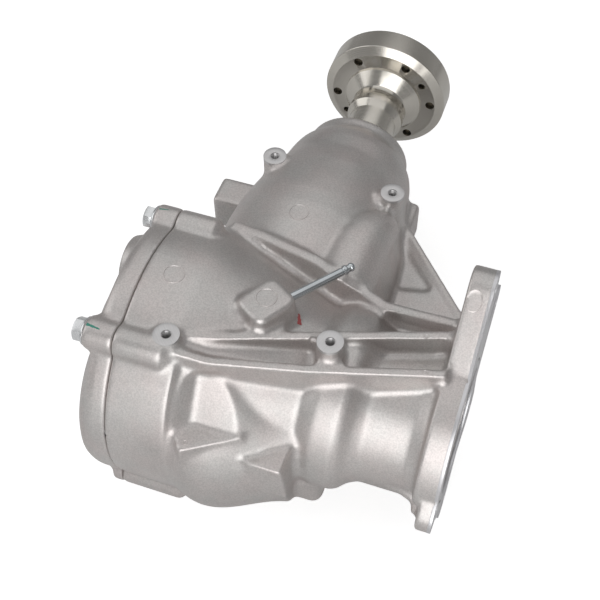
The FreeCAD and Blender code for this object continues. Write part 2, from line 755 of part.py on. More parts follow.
def cover():
    """End cover: a turned shell with its bosses and pads, less its seats and holes."""
    rim = d.parting_x - d.cover_rim
    crown = rim - d.cover_dome
    cup_floor = d.cover_cone_back_x - d.input_bearing_width - d.shim_thickness
    cup_bore = d.input_bearing_outer + d.seat_clearance
    lip = d.gear_room_radius - d.fit_clearance
    shell = turned("cover_shell", "X", [
        (d.parting_x, d.barrel_radius),
        (rim + 6.0, d.barrel_radius),
        (rim + 1.0, d.barrel_radius - 2.0),
        (rim, d.barrel_radius - 5.0),
        (rim - 2.0, d.barrel_radius - 10.0),
        (rim - 6.0, d.barrel_radius - 20.0),
        (rim - 10.5, d.barrel_radius - 30.0),
        (rim - 15.0, d.cover_seal_outer + 14.0),
        (crown + 2.0, d.cover_seal_outer + 9.0),
        (crown, d.cover_seal_outer + 7.0),
        (crown, d.cover_seal_outer + d.seat_clearance),
        (crown + d.shaft_seal_width + 1.0, d.cover_seal_outer + d.seat_clearance),
        (crown + d.shaft_seal_width + 1.0, d.cover_seal_outer - 7.0),
        (cup_floor, d.cover_seal_outer - 7.0),
        (cup_floor, cup_bore),
        (d.parting_x + 1.0, cup_bore),
        (d.parting_x + 1.0, d.input_bearing_outer + 8.0),
        (rim + 9.0, d.input_bearing_outer + 12.0),
        (rim + 8.0, d.input_bearing_outer + 17.0),
        (rim + 8.0, d.gear_room_radius - 8.0),
        (rim + 12.0, d.gear_room_radius - 4.5),
        (d.parting_x + d.cover_lip, d.gear_room_radius - 4.0),
        (d.parting_x + d.cover_lip, lip),
        (d.parting_x + 5.0, lip),
        (d.parting_x + 5.0, lip - 2.4),
        (d.parting_x + 1.6, lip - 2.4),
        (d.parting_x + 1.6, lip),
        (d.parting_x, lip)])
    bosses = []
    holes = []
    for i, (angle, _, stand) in enumerate(COVER_BOLTS):
        spot = round_spot(d.bolt_circle, angle)
        bosses.append(cylinder("cover_boss_%d" % i, "X", d.bolt_boss_radius, rim - stand, d.parting_x, spot))
        holes.append(cylinder("cover_hole_%d" % i, "X", d.cover_bolt_radius + 0.3, rim - stand - 1.0,
                              d.parting_x + 1.0, spot))
        holes.append(cylinder("cover_spot_face_%d" % i, "X", d.bolt_flange_radius + 0.9, crown - 5.0,
                              rim - stand, spot))
    # Boss of the filler, the swell of the front side, a pad on the upper side and the lower lug's end
    bosses.append(cylinder("fill_boss", "X", d.plug_boss_radius - 1.0, rim - FILL_STAND, rim + 10.0, FILL_SPOT))
    for i, ((high, narrow), (low, wide)) in enumerate(zip(FRONT_SWELL, FRONT_SWELL[1:])):
        bosses.append(frustum("front_swell_%d" % i, "X", narrow, wide, rim - high, rim - low, FRONT_SWELL_SPOT))
    bosses.append(frustum("upper_pad", "X", 20.0, 25.0, rim - UPPER_PAD_RISE, rim, UPPER_PAD_SPOT))
    bosses.append(cylinder("cover_lug", "X", LUG_RADIUS, d.parting_x - 8.0, d.parting_x,
                           round_spot(d.lug_circle, LUG_ANGLE)))
    holes.append(cylinder("cover_cup_bore", "X", cup_bore, cup_floor, d.parting_x + 1.0))
    holes.append(cylinder("cover_seal_bore", "X", d.cover_seal_outer + d.seat_clearance, crown - 1.0,
                          crown + d.shaft_seal_width + 1.0))
    holes.append(cylinder("cover_shaft_bore", "X", d.cover_seal_outer - 7.0, crown, cup_floor + 1.0))
    holes.append(cylinder("fill_spot_face", "X", d.plug_radius + 5.0, crown - 5.0, rim - FILL_STAND, FILL_SPOT))
    holes.append(cylinder("fill_hole", "X", d.plug_radius + d.fit_clearance, rim - FILL_STAND - 1.0, rim + 13.0,
                          FILL_SPOT))
    for i, spot in enumerate(dowel_spots()):
        holes.append(cylinder("cover_dowel_hole_%d" % i, "X", DOWEL_RADIUS + 0.02, d.parting_x - 8.0,
                              d.parting_x + 1.0, spot))
    clear = cylinder("cover_inner_clear", "X", d.gear_room_radius - 4.0, rim + 12.0, d.parting_x + 8.0)
    core = cylinder("cover_inner_core", "X", d.input_bearing_outer + 8.0, rim + 11.0, d.parting_x + 9.0)
    return cut("cover", fuse("cover_solid", [shell] + bosses),
               holes + [cut("cover_boss_trim", clear, [core])])


def dowel_spots():
    """Places (y, z) of the dowels, in the middle of the wall round the gear room."""
    middle = (d.gear_room_radius + d.barrel_radius) * 0.5
    return [round_spot(middle, angle) for angle in DOWEL_ANGLES]


def dowels():
    pins = [Part.makeCylinder(DOWEL_RADIUS, 15.0, Vector(float(d.parting_x) - 7.5, float(y), float(z)),
                              Vector(1, 0, 0)) for y, z in dowel_spots()]
    return feature("cover_dowels", Part.makeCompound(pins))


def housing():
    """Housing: its solid masses and columns, less the threads, holes and rooms."""
    barrel = turned("barrel", "X", [
        (d.parting_x, 20.0),
        (d.parting_x, d.barrel_radius),
        (d.parting_x + 26.0, d.barrel_radius - 0.5),
        (d.barrel_step_x - 9.0, d.barrel_radius - 2.0),
        (d.barrel_step_x, d.shoulder_radius),
        (d.waist_x, d.waist_radius),
        (d.waist_x, 20.0)])
    back = d.face_x - d.flange_thickness
    bulge = turned("bearing_bulge", "X", [
        (d.waist_x - 4.0, 20.0),
        (d.waist_x - 4.0, d.waist_radius - 4.0),
        (d.waist_x, d.waist_radius),
        (d.bulge_start_x - 4.0, d.bulge_radius - 1.0),
        (d.bulge_start_x, d.bulge_radius),
        (d.bulge_end_x, d.bulge_radius),
        (d.bulge_end_x + 5.0, d.bulge_radius - 2.5),
        (d.neck_start_x - 8.0, d.neck_radius + 4.0),
        (d.neck_start_x, d.neck_radius),
        (back - 9.0, d.neck_radius),
        (back - 7.0, d.neck_radius + 1.6),
        (back - 2.0, d.neck_radius + 2.4),
        (back + 1.0, d.neck_radius + 6.0),
        (back + 1.0, 20.0)])
    masses = [barrel, bulge, bottle(), mounting_plate(), sump(), cast_details()]
    columns = []
    threads = []
    for i, (x, y, top, foot) in enumerate(BOSSES):
        columns.append(cylinder("boss_%d" % i, "Z", d.boss_radius, foot, top, (x, y)))
        threads.append(cylinder("boss_thread_%d" % i, "Z", d.boss_thread_radius, top - d.boss_thread_depth,
                                top + 1.0, (x, y)))
    for i, (angle, end, stand) in enumerate(COVER_BOLTS):
        spot = round_spot(d.bolt_circle, angle)
        columns.append(cylinder("bolt_boss_%d" % i, "X", d.bolt_boss_radius, d.parting_x, end - 5.0, spot))
        columns.append(frustum("bolt_boss_end_%d" % i, "X", d.bolt_boss_radius, d.bolt_boss_radius * 0.6,
                               end - 5.0, end, spot))
        threads.append(cylinder("bolt_thread_%d" % i, "X", d.cover_bolt_radius + d.fit_clearance,
                                d.parting_x - 1.0,
                                d.parting_x + d.cover_bolt_reach + d.cover_bolt_stand - stand + 2.0, spot))
    lug = round_spot(d.lug_circle, LUG_ANGLE)
    columns.append(cylinder("housing_lug", "X", LUG_RADIUS, d.parting_x, BAND_END_X + 1.0, lug))
    columns.append(frustum("housing_lug_end", "X", LUG_RADIUS, LUG_RADIUS - 6.0, BAND_END_X + 1.0,
                           BAND_END_X + 7.0, lug))
    for i, spot in enumerate(dowel_spots()):
        threads.append(cylinder("dowel_hole_%d" % i, "X", DOWEL_RADIUS + 0.02, d.parting_x - 1.0,
                                d.parting_x + 8.0, spot))
    drain_face = -d.barrel_radius - DRAIN_STAND
    room_floor = -d.gear_room_radius + 8.0
    columns.append(cylinder("drain_boss", "Z", d.plug_boss_radius, drain_face, room_floor, DRAIN_SPOT))
    threads.append(cylinder("drain_hole", "Z", d.plug_radius + d.fit_clearance, drain_face - 1.0, room_floor,
                            DRAIN_SPOT))
    threads.append(cylinder("oil_drain_path", "Z", 5.0, room_floor - 4.0, room_floor + 20.0, DRAIN_SPOT))
    y, z, thinner = FLANGE_LOBES[-1]
    threads.append(cylinder("front_spot_face", "X", d.lobe_bolt_radius + 4.5, back - 20.0, back + thinner, (y, z)))
    threads.append(front_pocket())
    for i, (y, z, _) in enumerate(FLANGE_LOBES):
        threads.append(cylinder("flange_hole_%d" % i, "X", d.lobe_bolt_radius, back - 20.0, d.face_x + 1.0,
                                (y, z)))
    solid = fuse("housing_solid", masses + columns)
    return cut("housing", solid, threads + housing_rooms())


def housing_rooms():
    """The hollows inside the housing, from the parting face and from the nose."""
    cup_bore = d.input_bearing_outer + d.seat_clearance
    neck_shoulder = d.neck_cone_back_x + d.input_bearing_width
    head_shoulder = d.head_cone_back_y + d.head_bearing_width
    tail_shoulder = d.tail_cone_back_y - d.tail_bearing_width
    # The floor of the gear room slopes beside the ring gear's tips
    edge = 4.0 - d.ring_pitch_radius * d.pinion_teeth / d.ring_teeth
    rim = d.gear_room_radius - 4.0
    return [
        cylinder("gear_room", "X", d.gear_room_radius, d.parting_x - 1.0, edge - 10.0),
        frustum("gear_room_slope", "X", d.gear_room_radius, rim, edge - 10.0, edge),
        frustum("gear_room_floor", "X", rim, cup_bore, edge, edge + 16.5),
        cylinder("cup_bore", "X", cup_bore, edge + 16.0, neck_shoulder),
        cylinder("neck_bore", "X", d.neck_bore_radius, neck_shoulder - 1.0, d.face_x + 1.0),
        cylinder("pinion_room", "Y", d.head_bearing_outer + 1.5, 0.0, d.head_cone_back_y),
        cylinder("head_cup_bore", "Y", d.head_bearing_outer + d.seat_clearance, d.head_cone_back_y - 1.0,
                 head_shoulder),
        cylinder("head_shoulder_bore", "Y", d.head_bearing_outer - 7.0, head_shoulder - 1.0,
                 head_shoulder + 8.0),
        cylinder("oil_room", "Y", d.head_bearing_outer + 2.0, head_shoulder + 7.0, tail_shoulder - 10.0),
        cylinder("tail_shoulder_bore", "Y", d.tail_bearing_outer - 6.0, tail_shoulder - 11.0, tail_shoulder + 1.0),
        cylinder("tail_cup_bore", "Y", d.tail_bearing_outer + d.seat_clearance, tail_shoulder,
                 d.nose_y + 1.0),
        turned("flange_o_ring_groove", "X", [
            (d.face_x - 2.4, d.neck_bore_radius + 4.7), (d.face_x - 2.4, d.neck_bore_radius + 7.3),
            (d.face_x + 1.0, d.neck_bore_radius + 7.3), (d.face_x + 1.0, d.neck_bore_radius + 4.7)]),
    ]


def bottle():
    """Pinion housing: circles along Y that start beside the pinion's axis and end round it, at the nose."""
    full = float(d.bottle_radius)
    nose = float(d.nose_radius)
    start = float(d.bottle_start_y)
    wide = float(d.bottle_full_y)
    tip = float(d.nose_y)
    aside = float(d.bottle_offset)
    sections = [
        (start, full - 20.0, aside), (start + 6.0, full - 9.0, aside), (start + 18.0, full - 2.0, aside),
        (wide - 20.0, full, aside), (wide, full, aside), (wide + 17.0, full - 1.3, aside),
        (wide + 35.0, full - 4.0, aside * 0.8), (wide + 58.0, full - 8.0, aside * 0.5),
        (tip - 55.0, nose + 15.5, aside * 0.4), (tip - 46.0, nose + 12.6, aside * 0.2),
        (tip - 30.0, nose + 10.4, 0.0), (tip - 22.0, nose + 8.0, 0.0), (tip - 15.0, nose + 3.6, 0.0),
        (tip - float(d.nose_collar), nose, 0.0), (tip - 1.0, nose, 0.0), (tip, nose - 1.0, 0.0)]
    wires = [Part.Wire(Part.makeCircle(radius, Vector(x, y, 0), Vector(0, 1, 0))) for y, radius, x in sections]
    shape = Part.makeLoft(wires, True, True)
    scoops = [Part.makeCylinder(radius, 60.0, Vector(x, y, foot))
              for (x, y, _, _), (radius, foot) in zip(BOSSES, SCOOPS)]
    return feature("bottle", shape.cut(scoops))


def mounting_plate():
    """Flange that bolts to the transaxle: a disc with one lobe for each bolt."""
    back = float(d.face_x - d.flange_thickness)
    face = float(d.face_x)
    disc = Part.makeCylinder(float(d.flange_radius), face - back, Vector(back, 0, 0), Vector(1, 0, 0))
    lobes = [plate_x(link((0.0, 0.0), (y, z), float(d.flange_radius) - 14.0, float(d.lobe_radius)),
                     back + thinner, face) for y, z, thinner in FLANGE_LOBES]
    return feature("mounting_plate", disc.fuse(lobes))


# Level of the triangular ledge on the lower front, and where the barrel's front band ends
LEDGE_Z = 37.0
BAND_END_X = -37.0


def sump():
    """Lower front of the barrel, an eccentric form that narrows towards the neck."""
    sections = [(BAND_END_X, -4.0, -3.0, float(d.barrel_radius) - 6.5), (10.0, -20.0, -14.0, 74.0),
                (28.0, -22.0, -15.5, 63.0), (45.0, -24.0, -17.0, 55.0)]
    wires = []
    for x, y, z, radius in sections:
        wires.append(Part.Wire(Part.makeCircle(radius, Vector(x, y, z), Vector(1, 0, 0))))
    body = Part.makeLoft(wires, True, False)
    radius = float(d.barrel_radius)
    start = float(d.parting_x)
    band = Part.makeCylinder(radius, BAND_END_X - start, Vector(start, 0, 0), Vector(1, 0, 0))
    depth = radius + 16.0
    front = Part.makeBox(60.0, depth - 54.0, 2.0 * radius, Vector(start, -depth, 79.0 - 2.0 * radius))
    return feature("sump", body.fuse(band.common(front)))


def front_pocket():
    """The hollow above the ledge, which is deepest beside the barrel's front band and fades to the right."""
    out = -float(d.barrel_radius) - 32.0
    low = [(BAND_END_X, out), (BAND_END_X + 0.5, -91.0), (-23.5, -75.0), (14.0, -74.5), (14.0, out)]
    high = [(BAND_END_X, out), (BAND_END_X + 0.5, -69.0), (-25.0, -50.0), (14.0, -46.0), (14.0, out)]
    return feature("front_pocket", tapered(low, LEDGE_Z, high, LEDGE_Z + 33.0))


def cast_details():
    """Ribs, ridges, pads and the breather block that stand on the casting."""
    thick = float(d.rib_thickness)
    ridge = float(d.ridge_thickness)
    web = float(d.web_thickness)
    back = float(d.face_x - d.flange_thickness) + 2.0
    shapes = []
    # Two long ribs from the front bolt boss to the mounting flange
    front_rib = [(-50.0, -54.0, 88.0), (-18.0, -50.5, 82.0), (45.0, -31.0, 75.0), (back, -4.0, 73.0)]
    rear_rib = [(-56.0, -42.0, 88.0), (-20.0, -32.0, 84.0), (50.0, -1.0, 75.0), (back, 29.5, 72.0)]
    shapes += run(front_rib, thick, 30.0) + run(rear_rib, thick, 30.0)
    # Curved ridge from the rear bolt boss, over the shoulder and down to the flange
    upper = [(-50.0, 74.5, 69.5), (-25.0, 70.0, 71.5), (-2.0, 65.0, 72.0), (22.5, 60.5, 71.0),
             (39.5, 56.0, 66.0), (56.0, 56.5, 57.0), (75.0, 49.5, 55.0), (back, 50.5, 55.0)]
    shapes += run(upper, ridge, 10.0)
    # Level web between the pinion housing and the flange, with a pocket in its top
    outline = [(58.0, 166.0), (64.0, 165.0), (back, 87.0), (back, 50.0), (58.0, 70.0)]
    pocket = [(62.0, 153.0), (97.0, 114.0), (96.0, 109.0), (62.0, 101.0)]
    shapes.append(prism(outline, -web / 2.0, web / 2.0).cut(prism(pocket, web / 2.0 - 3.0, web)))
    shapes.append(wall((62.0, 165.4, 6.5), (back, 84.2, 6.5), 5.0, -9.0))
    # Lugs under the pinion housing
    shapes.append(rounded_block((-105.0, 156.0, -44.0), (-20.0, 184.0, -10.0), 3.0))
    shapes.append(rounded_block((20.0, 172.0, -44.0), (64.0, 208.0, -10.0), 4.0))
    shapes.append(dome())
    # Drafted side of the pinion housing above the web
    side_foot = [(30.0, 61.0), (72.5, 61.0), (72.0, 97.0), (69.0, 130.0), (65.0, 147.0), (30.0, 147.0)]
    side_top = [(30.0, 61.0), (63.0, 61.0), (63.0, 97.0), (60.0, 116.0), (52.0, 129.0), (30.0, 129.0)]
    shapes.append(tapered(side_foot, 0.0, side_top, 48.0))
    # Ledge and lug with level tops on the lower front
    ledge = [(-21.0, -70.0), (-27.5, -94.0), (-23.0, -98.0), (-18.0, -95.0), (14.0, -75.0), (14.0, -58.0)]
    shapes.append(prism(ledge, -30.0, LEDGE_Z))
    lug_top = [(16.7, -85.2), (44.0, -85.3), (44.5, -60.0), (29.0, -60.0), (30.0, -72.5), (27.0, -80.0)]
    lug_foot = [(20.7, -85.0), (47.5, -85.0), (47.5, -60.0), (29.0, -60.0), (31.5, -72.5), (29.0, -80.0)]
    shapes.append(tapered(lug_foot, -13.0, lug_top, 23.0))
    # Foot under the bearing bulge
    shapes.append(rounded_block((14.0, -60.0, -64.0), (64.0, -18.0, -30.0), 8.0))
    # Block that carries the breather tube
    shapes.append(breather_block())
    first = shapes[0]
    return feature("cast_details", first.multiFuse(shapes[1:]))


def run(line, thickness, foot):
    """A wall along a line of top points, with a round post at each bend."""
    shapes = [wall(start, end, thickness, foot) for start, end in zip(line, line[1:])]
    for x, y, top in line[1:-1]:
        shapes.append(Part.makeCylinder(thickness / 2.0, top - 0.2 - foot, Vector(x, y, foot)))
    return shapes


def dome():
    """The bulge over the pinion head bearing, which tapers off towards the rear boss."""
    sections = [(61.0, 38.0, 42.0, 25.0), (86.0, 38.0, 42.0, 25.0), (100.0, 39.0, 42.0, 24.4),
                (112.0, 41.0, 42.0, 22.9), (122.0, 44.0, 42.0, 20.0), (130.0, 47.0, 41.0, 16.0),
                (136.0, 50.0, 40.0, 11.0), (140.0, 52.0, 38.0, 5.0)]
    wires = [Part.Wire(Part.makeCircle(radius, Vector(x, y, z), Vector(0, 1, 0))) for y, x, z, radius in sections]
    return Part.makeLoft(wires, True, True)


def rounded_block(low, high, radius):
    block = Part.makeBox(high[0] - low[0], high[1] - low[1], high[2] - low[2], Vector(*low))
    return block.makeFillet(radius, block.Edges)


BREATHER_CENTRE = Vector(4.5, 1.8, 0)


def along_tube(shape):
    """Moves a shape made along X from the mouth of the breather's bore to its place."""
    shape.rotate(Vector(0, 0, 0), Vector(0, 0, 1), float(d.tube_turn))
    shape.translate(Vector(float(d.tube_base_x), float(d.tube_base_y), float(d.breather_top - d.tube_drop)))
    return shape


def breather_block():
    """Drafted block with rounded edges and the bore that the tube is pressed into."""
    foot = 50.0
    draft = 3.0
    outlines = []
    for extra in (draft, 0.0):
        x = float(d.breather_length) / 2.0 + extra
        y = float(d.breather_width) / 2.0 + extra
        outlines.append([(-x, -y), (x, -y), (x, y), (-x, y)])
    block = tapered(outlines[0], foot, outlines[1], float(d.breather_top))
    top = float(d.breather_top) - 1.0
    upright = [edge for edge in block.Edges if edge.BoundBox.ZMin < top < edge.BoundBox.ZMax]
    block = block.makeFillet(7.5, upright)
    block = block.makeFillet(4.5, [edge for edge in block.Edges if edge.BoundBox.ZMin > top])
    block.rotate(Vector(0, 0, 0), Vector(0, 0, 1), float(d.breather_turn))
    block.translate(BREATHER_CENTRE)
    depth = float(d.tube_depth)
    bore = Part.makeCylinder(float(d.tube_radius + d.fit_clearance), depth + 8.0, Vector(-depth, 0, 0),
                             Vector(1, 0, 0))
    return block.cut(along_tube(bore))


def breather_tube():
    end = float(d.tube_reach)
    start = -float(d.tube_depth)
    bore = float(d.tube_bore_radius)
    radius = float(d.tube_radius)
    profile = [(start, bore), (start, radius), (end - 9.0, radius), (end - 8.0, radius + 0.7),
               (end - 6.5, radius + 0.7), (end - 5.5, radius - 0.1), (end - 1.0, radius - 0.1),
               (end, radius - 0.7), (end, bore)]
    return feature("breather_tube", along_tube(revolve_profile(profile, "X")))


def small_rings():
    """Shims, seals, sleeve and O-rings."""
    cup_back = d.cover_cone_back_x - d.input_bearing_width
    crown = d.parting_x - d.cover_rim - d.cover_dome
    journal = d.input_bearing_bore - d.seat_clearance
    shim_back = d.head_cone_back_y - d.shim_thickness
    head_front = d.head_cone_back_y + d.head_bearing_width - 2.5
    tail_front = d.tail_cone_back_y - d.tail_bearing_width + 2.5
    pieces = [
        turned("cover_bearing_shim", "X", [
            (cup_back, d.input_bearing_outer - 0.3), (cup_back, d.input_bearing_outer - 6.0),
            (cup_back - d.shim_thickness, d.input_bearing_outer - 6.0),
            (cup_back - d.shim_thickness, d.input_bearing_outer - 0.3)]),
        turned("pinion_shim", "Y", [
            (shim_back, d.head_bearing_bore + 0.1), (shim_back, d.head_bearing_bore + 7.5),
            (d.head_cone_back_y, d.head_bearing_bore + 7.5), (d.head_cone_back_y, d.head_bearing_bore + 0.1)]),
        turned("crush_sleeve", "Y", [
            (head_front, d.head_bearing_bore + 0.15), (head_front, d.head_bearing_bore + 2.0),
            (head_front + 26.0, d.head_bearing_bore + 2.0), (head_front + 35.0, d.head_bearing_bore + 4.5),
            (head_front + 44.0, d.head_bearing_bore + 2.0), (tail_front - 2.0, d.head_bearing_bore - 0.5),
            (tail_front, d.head_bearing_bore - 0.5), (tail_front, d.head_bearing_bore - 2.8),
            (head_front + 46.0, d.head_bearing_bore - 2.8), (head_front + 44.0, d.head_bearing_bore + 0.2),
            (head_front + 35.0, d.head_bearing_bore + 2.6), (head_front + 26.0, d.head_bearing_bore + 0.15)]),
        seal("cover_shaft_seal", "X", crown + 0.5, crown + 0.5 + d.shaft_seal_width, journal, d.cover_seal_outer),
        seal("neck_shaft_seal", "X", d.neck_seal_x, d.neck_seal_x + d.shaft_seal_width, journal,
             d.neck_bore_radius),
        seal("pinion_seal", "Y", d.nose_y - d.pinion_seal_width - 0.5, d.nose_y - 0.5, d.output_hub_radius,
             d.tail_bearing_outer),
        turned("nut_washer", "Y", [
            (d.nut_seat_y, d.pinion_thread_radius + 0.3), (d.nut_seat_y, d.nut_room_radius - 1.5),
            (d.nut_seat_y + d.washer_thickness, d.nut_room_radius - 1.5),
            (d.nut_seat_y + d.washer_thickness, d.pinion_thread_radius + 0.3)]),
        dust_shield(),
        o_ring("cover_o_ring", d.parting_x + 3.3, d.gear_room_radius - d.fit_clearance - 1.2, 1.15),
        o_ring("flange_o_ring", d.face_x - 1.2, d.neck_bore_radius + 6.0, 1.15),
    ]
    return pieces


def seal(name, axis, start, end, shaft, bore):
    """A lip seal: a case that fills the bore and a lip that all but touches the shaft."""
    case = bore - 0.05
    lip = shaft + d.seal_gap
    return turned(name, axis, [
        (start, case), (end, case), (end, lip + 3.5), (end - 1.5, lip + 1.0), (end - 2.5, lip + 0.8),
        (end - 3.5, lip), (end - 4.5, lip + 0.8), (start + 2.5, lip + 3.0), (start + 2.5, case - 2.0),
        (start, case - 2.0)])


def dust_shield():
    start = d.nose_y + 1.5
    return turned("dust_shield", "Y", [
        (start, d.output_hub_radius + 0.02), (start, d.nose_radius - 9.0), (start + 1.2, d.nose_radius - 9.0),
        (start + 1.2, d.output_hub_radius + 1.2), (start + 6.0, d.output_hub_radius + 1.2),
        (start + 6.0, d.output_hub_radius + 0.02)])


def o_ring(name, x, radius, section):
    item = doc.addObject("Part::Torus", name)
    item.Radius1 = float(radius)
    item.Radius2 = float(section)
    bind(item, "Radius1", radius)
    bind(item, "Radius2", section)
    place(item, "X", x, (0.0, 0.0))
    return item


def output_flange():
    face = d.output_face_y
    back = face - d.output_thickness
    blank = turned("output_flange_blank", "Y", [
        (d.tail_cone_back_y, d.pinion_spline_radius + d.fit_clearance),
        (d.tail_cone_back_y, d.output_hub_radius - 1.0),
        (d.tail_cone_back_y + 1.0, d.output_hub_radius),
        (back - 34.0, d.output_hub_radius),
        (back - 28.0, d.output_neck_radius),
        (back - 22.0, d.output_neck_radius),
        (back - 20.0, d.output_neck_radius - 1.0),
        (back - 13.0, d.output_neck_radius - 1.0),
        (back - 11.0, d.output_neck_radius + 1.0),
        (back - 2.5, d.output_cone_radius),
        (back, d.output_cone_radius),
        (back, d.output_radius - 7.2),
        (back + 4.0, d.output_radius),
        (face - 1.0, d.output_radius),
        (face, d.output_radius - 1.0),
        (face, d.output_pilot_radius),
        (face - d.output_pilot_depth, d.output_pilot_radius),
        (face - d.output_pilot_depth, d.nut_room_radius),
        (d.nut_seat_y, d.nut_room_radius),
        (d.nut_seat_y, d.pinion_spline_radius + d.fit_clearance)])
    holes = [cylinder("output_hole_%d" % i, "Y", d.output_bolt_radius, back - 1.0, face + 1.0, spot)
             for i, spot in enumerate(ring_points(d.output_bolt_circle, d.output_bolt_count, 5.0))]
    holes += [cylinder("puller_hole_%d" % i, "Y", 3.0, back - 1.0, face + 1.0, spot)
              for i, spot in enumerate(ring_points(d.output_bolt_circle - 2.0, 2, 35.0))]
    return cut("output_flange", blank, holes)


def pinion_nut():
    low = float(d.nut_seat_y + d.washer_thickness)
    nut = hexagon(float(d.nut_flats), low, low + float(d.nut_height), "Y")
    hole = Part.makeCylinder(float(d.pinion_thread_radius + d.fit_clearance), float(d.nut_height) + 2.0,
                             Vector(0, low - 1.0, 0), Vector(0, 1, 0))
    return feature("pinion_nut", nut.cut(hole))


ring, pinion = gear_pair()
pieces = [housing(), cover(), input_shaft(), ring_gear(ring), pinion_shaft(pinion), output_flange(), pinion_nut(),
          breather_tube(), dowels()]
pieces += fasteners() + oil_plugs() + small_rings()
for bearing in bearings():
    pieces += bearing.pieces()
doc.recompute()

for item in doc.Objects:
    if "Invalid" in item.State or "Error" in item.State:
        raise RuntimeError("failed: " + item.Label + " " + str(item.State))
for piece in pieces:
    if piece.Shape.isNull() or not piece.Shape.isValid():
        raise RuntimeError("no valid shape: " + piece.Label)

os.makedirs("parts", exist_ok=True)
for piece in pieces:
    piece.Shape.exportStep("parts/" + piece.Label + ".step")
    print(piece.Label, len(piece.Shape.Solids), round(piece.Shape.Volume, 1))
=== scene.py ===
"""Looks of a right-angle transfer case: cast housing and cover, turned flange, plated bolts, breather tube.

The part's own frame: +X to the mounting face, +Y to the output flange, +Z up. Blender's values are metres.
Sizes of pieces are given in millimetres and turned into metres by MM.
"""

import sys

import logging
import math
from dataclasses import dataclass
from enum import Enum
from typing import Callable, Iterable, Sequence

import bpy
from mathutils import Matrix, Vector


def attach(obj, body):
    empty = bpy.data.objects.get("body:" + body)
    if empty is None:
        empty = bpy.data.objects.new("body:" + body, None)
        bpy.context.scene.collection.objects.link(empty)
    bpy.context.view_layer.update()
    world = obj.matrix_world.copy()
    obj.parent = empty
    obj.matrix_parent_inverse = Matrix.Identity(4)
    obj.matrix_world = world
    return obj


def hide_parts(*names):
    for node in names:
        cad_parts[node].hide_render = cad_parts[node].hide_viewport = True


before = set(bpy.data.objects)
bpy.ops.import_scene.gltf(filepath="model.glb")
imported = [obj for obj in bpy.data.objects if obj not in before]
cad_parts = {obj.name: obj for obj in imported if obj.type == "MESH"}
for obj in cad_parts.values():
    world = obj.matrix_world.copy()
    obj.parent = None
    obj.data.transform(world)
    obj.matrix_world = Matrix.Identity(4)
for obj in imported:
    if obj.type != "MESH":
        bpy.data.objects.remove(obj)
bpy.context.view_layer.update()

LOG = logging.getLogger("transfer_case")
MM = 0.001
# Vertices closer than this are one vertex
MERGE = 0.01 * MM
# A level above the whole case, from which marks are projected down on to it
ABOVE = 130.0 * MM


class Axis(Enum):
    """A direction that a piece is turned about or faces."""

    X = 0
    Y = 1
    Z = 2


# A round hole: its axis, its middle in metres, its radius and its length in millimetres
Hole = tuple[Axis, Sequence[float], float, float]


def deselect() -> None:
    """Clears the selection, which loading the frame leaves full."""
    bpy.ops.object.select_all(action="DESELECT")


def activate(piece: bpy.types.Object) -> None:
    """Makes a piece the only selected one and the active one.

    Args:
        piece: the object to work on next.
    """
    deselect()
    piece.select_set(True)
    bpy.context.view_layer.objects.active = piece


def modify(piece: bpy.types.Object, kind: str, **settings: object) -> None:
    """Adds a modifier to a piece and applies it.

    Args:
        piece: the object to change.
        kind: Blender's name of the modifier type.
        settings: the modifier's properties by name.
    """
    activate(piece)
    modifier = piece.modifiers.new(kind.title(), kind)
    for name, value in settings.items():
        setattr(modifier, name, value)
    bpy.ops.object.modifier_apply(modifier=modifier.name)


def round_edges(piece: bpy.types.Object, width: float, degrees: float) -> None:
    """Rounds the edges of a piece that are sharper than an angle.

    Args:
        piece: the object.
        width: width of the rounding in millimetres.
        degrees: the angle between faces from which an edge is rounded.
    """
    modify(piece, "BEVEL", width=width * MM, segments=2, limit_method="ANGLE",
           angle_limit=math.radians(degrees))


def settle(piece: bpy.types.Object) -> None:
    """Moves a piece's place into its mesh, so that its object sits at the origin.

    Args:
        piece: the object to settle.
    """
    activate(piece)
    bpy.ops.object.transform_apply(location=True, rotation=True, scale=True)


def copy_node(node: str, name: str) -> bpy.types.Object:
    """Copies a frame node's mesh into a new object with its doubles merged.

    Args:
        node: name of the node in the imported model.
        name: name of the new object.

    Returns:
        The new object, at the origin.
    """
    piece = bpy.data.objects.new(name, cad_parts[node].data.copy())
    bpy.context.scene.collection.objects.link(piece)
    piece.data.materials.clear()
    activate(piece)
    bpy.ops.object.mode_set(mode="EDIT")
    bpy.ops.mesh.select_all(action="SELECT")
    bpy.ops.mesh.remove_doubles(threshold=MERGE)
    bpy.ops.object.mode_set(mode="OBJECT")
    return piece


def smooth_by_angle(piece: bpy.types.Object, degrees: float) -> None:
    """Shades a piece smooth and keeps edges sharper than an angle crisp.

    Args:
        piece: the object to shade.
        degrees: the angle between faces from which an edge stays crisp.
    """
    activate(piece)
    bpy.ops.object.shade_smooth_by_angle(angle=math.radians(degrees))


def join(pieces: Sequence[bpy.types.Object], name: str) -> bpy.types.Object:
    """Joins pieces into one object.

    Args:
        pieces: the objects, at least one.
        name: name of the result.

    Returns:
        The joined object.
    """
    deselect()
    for piece in pieces:
        piece.select_set(True)
    bpy.context.view_layer.objects.active = pieces[0]
    if len(pieces) > 1:
        bpy.ops.object.join()
    pieces[0].name = name
    return pieces[0]


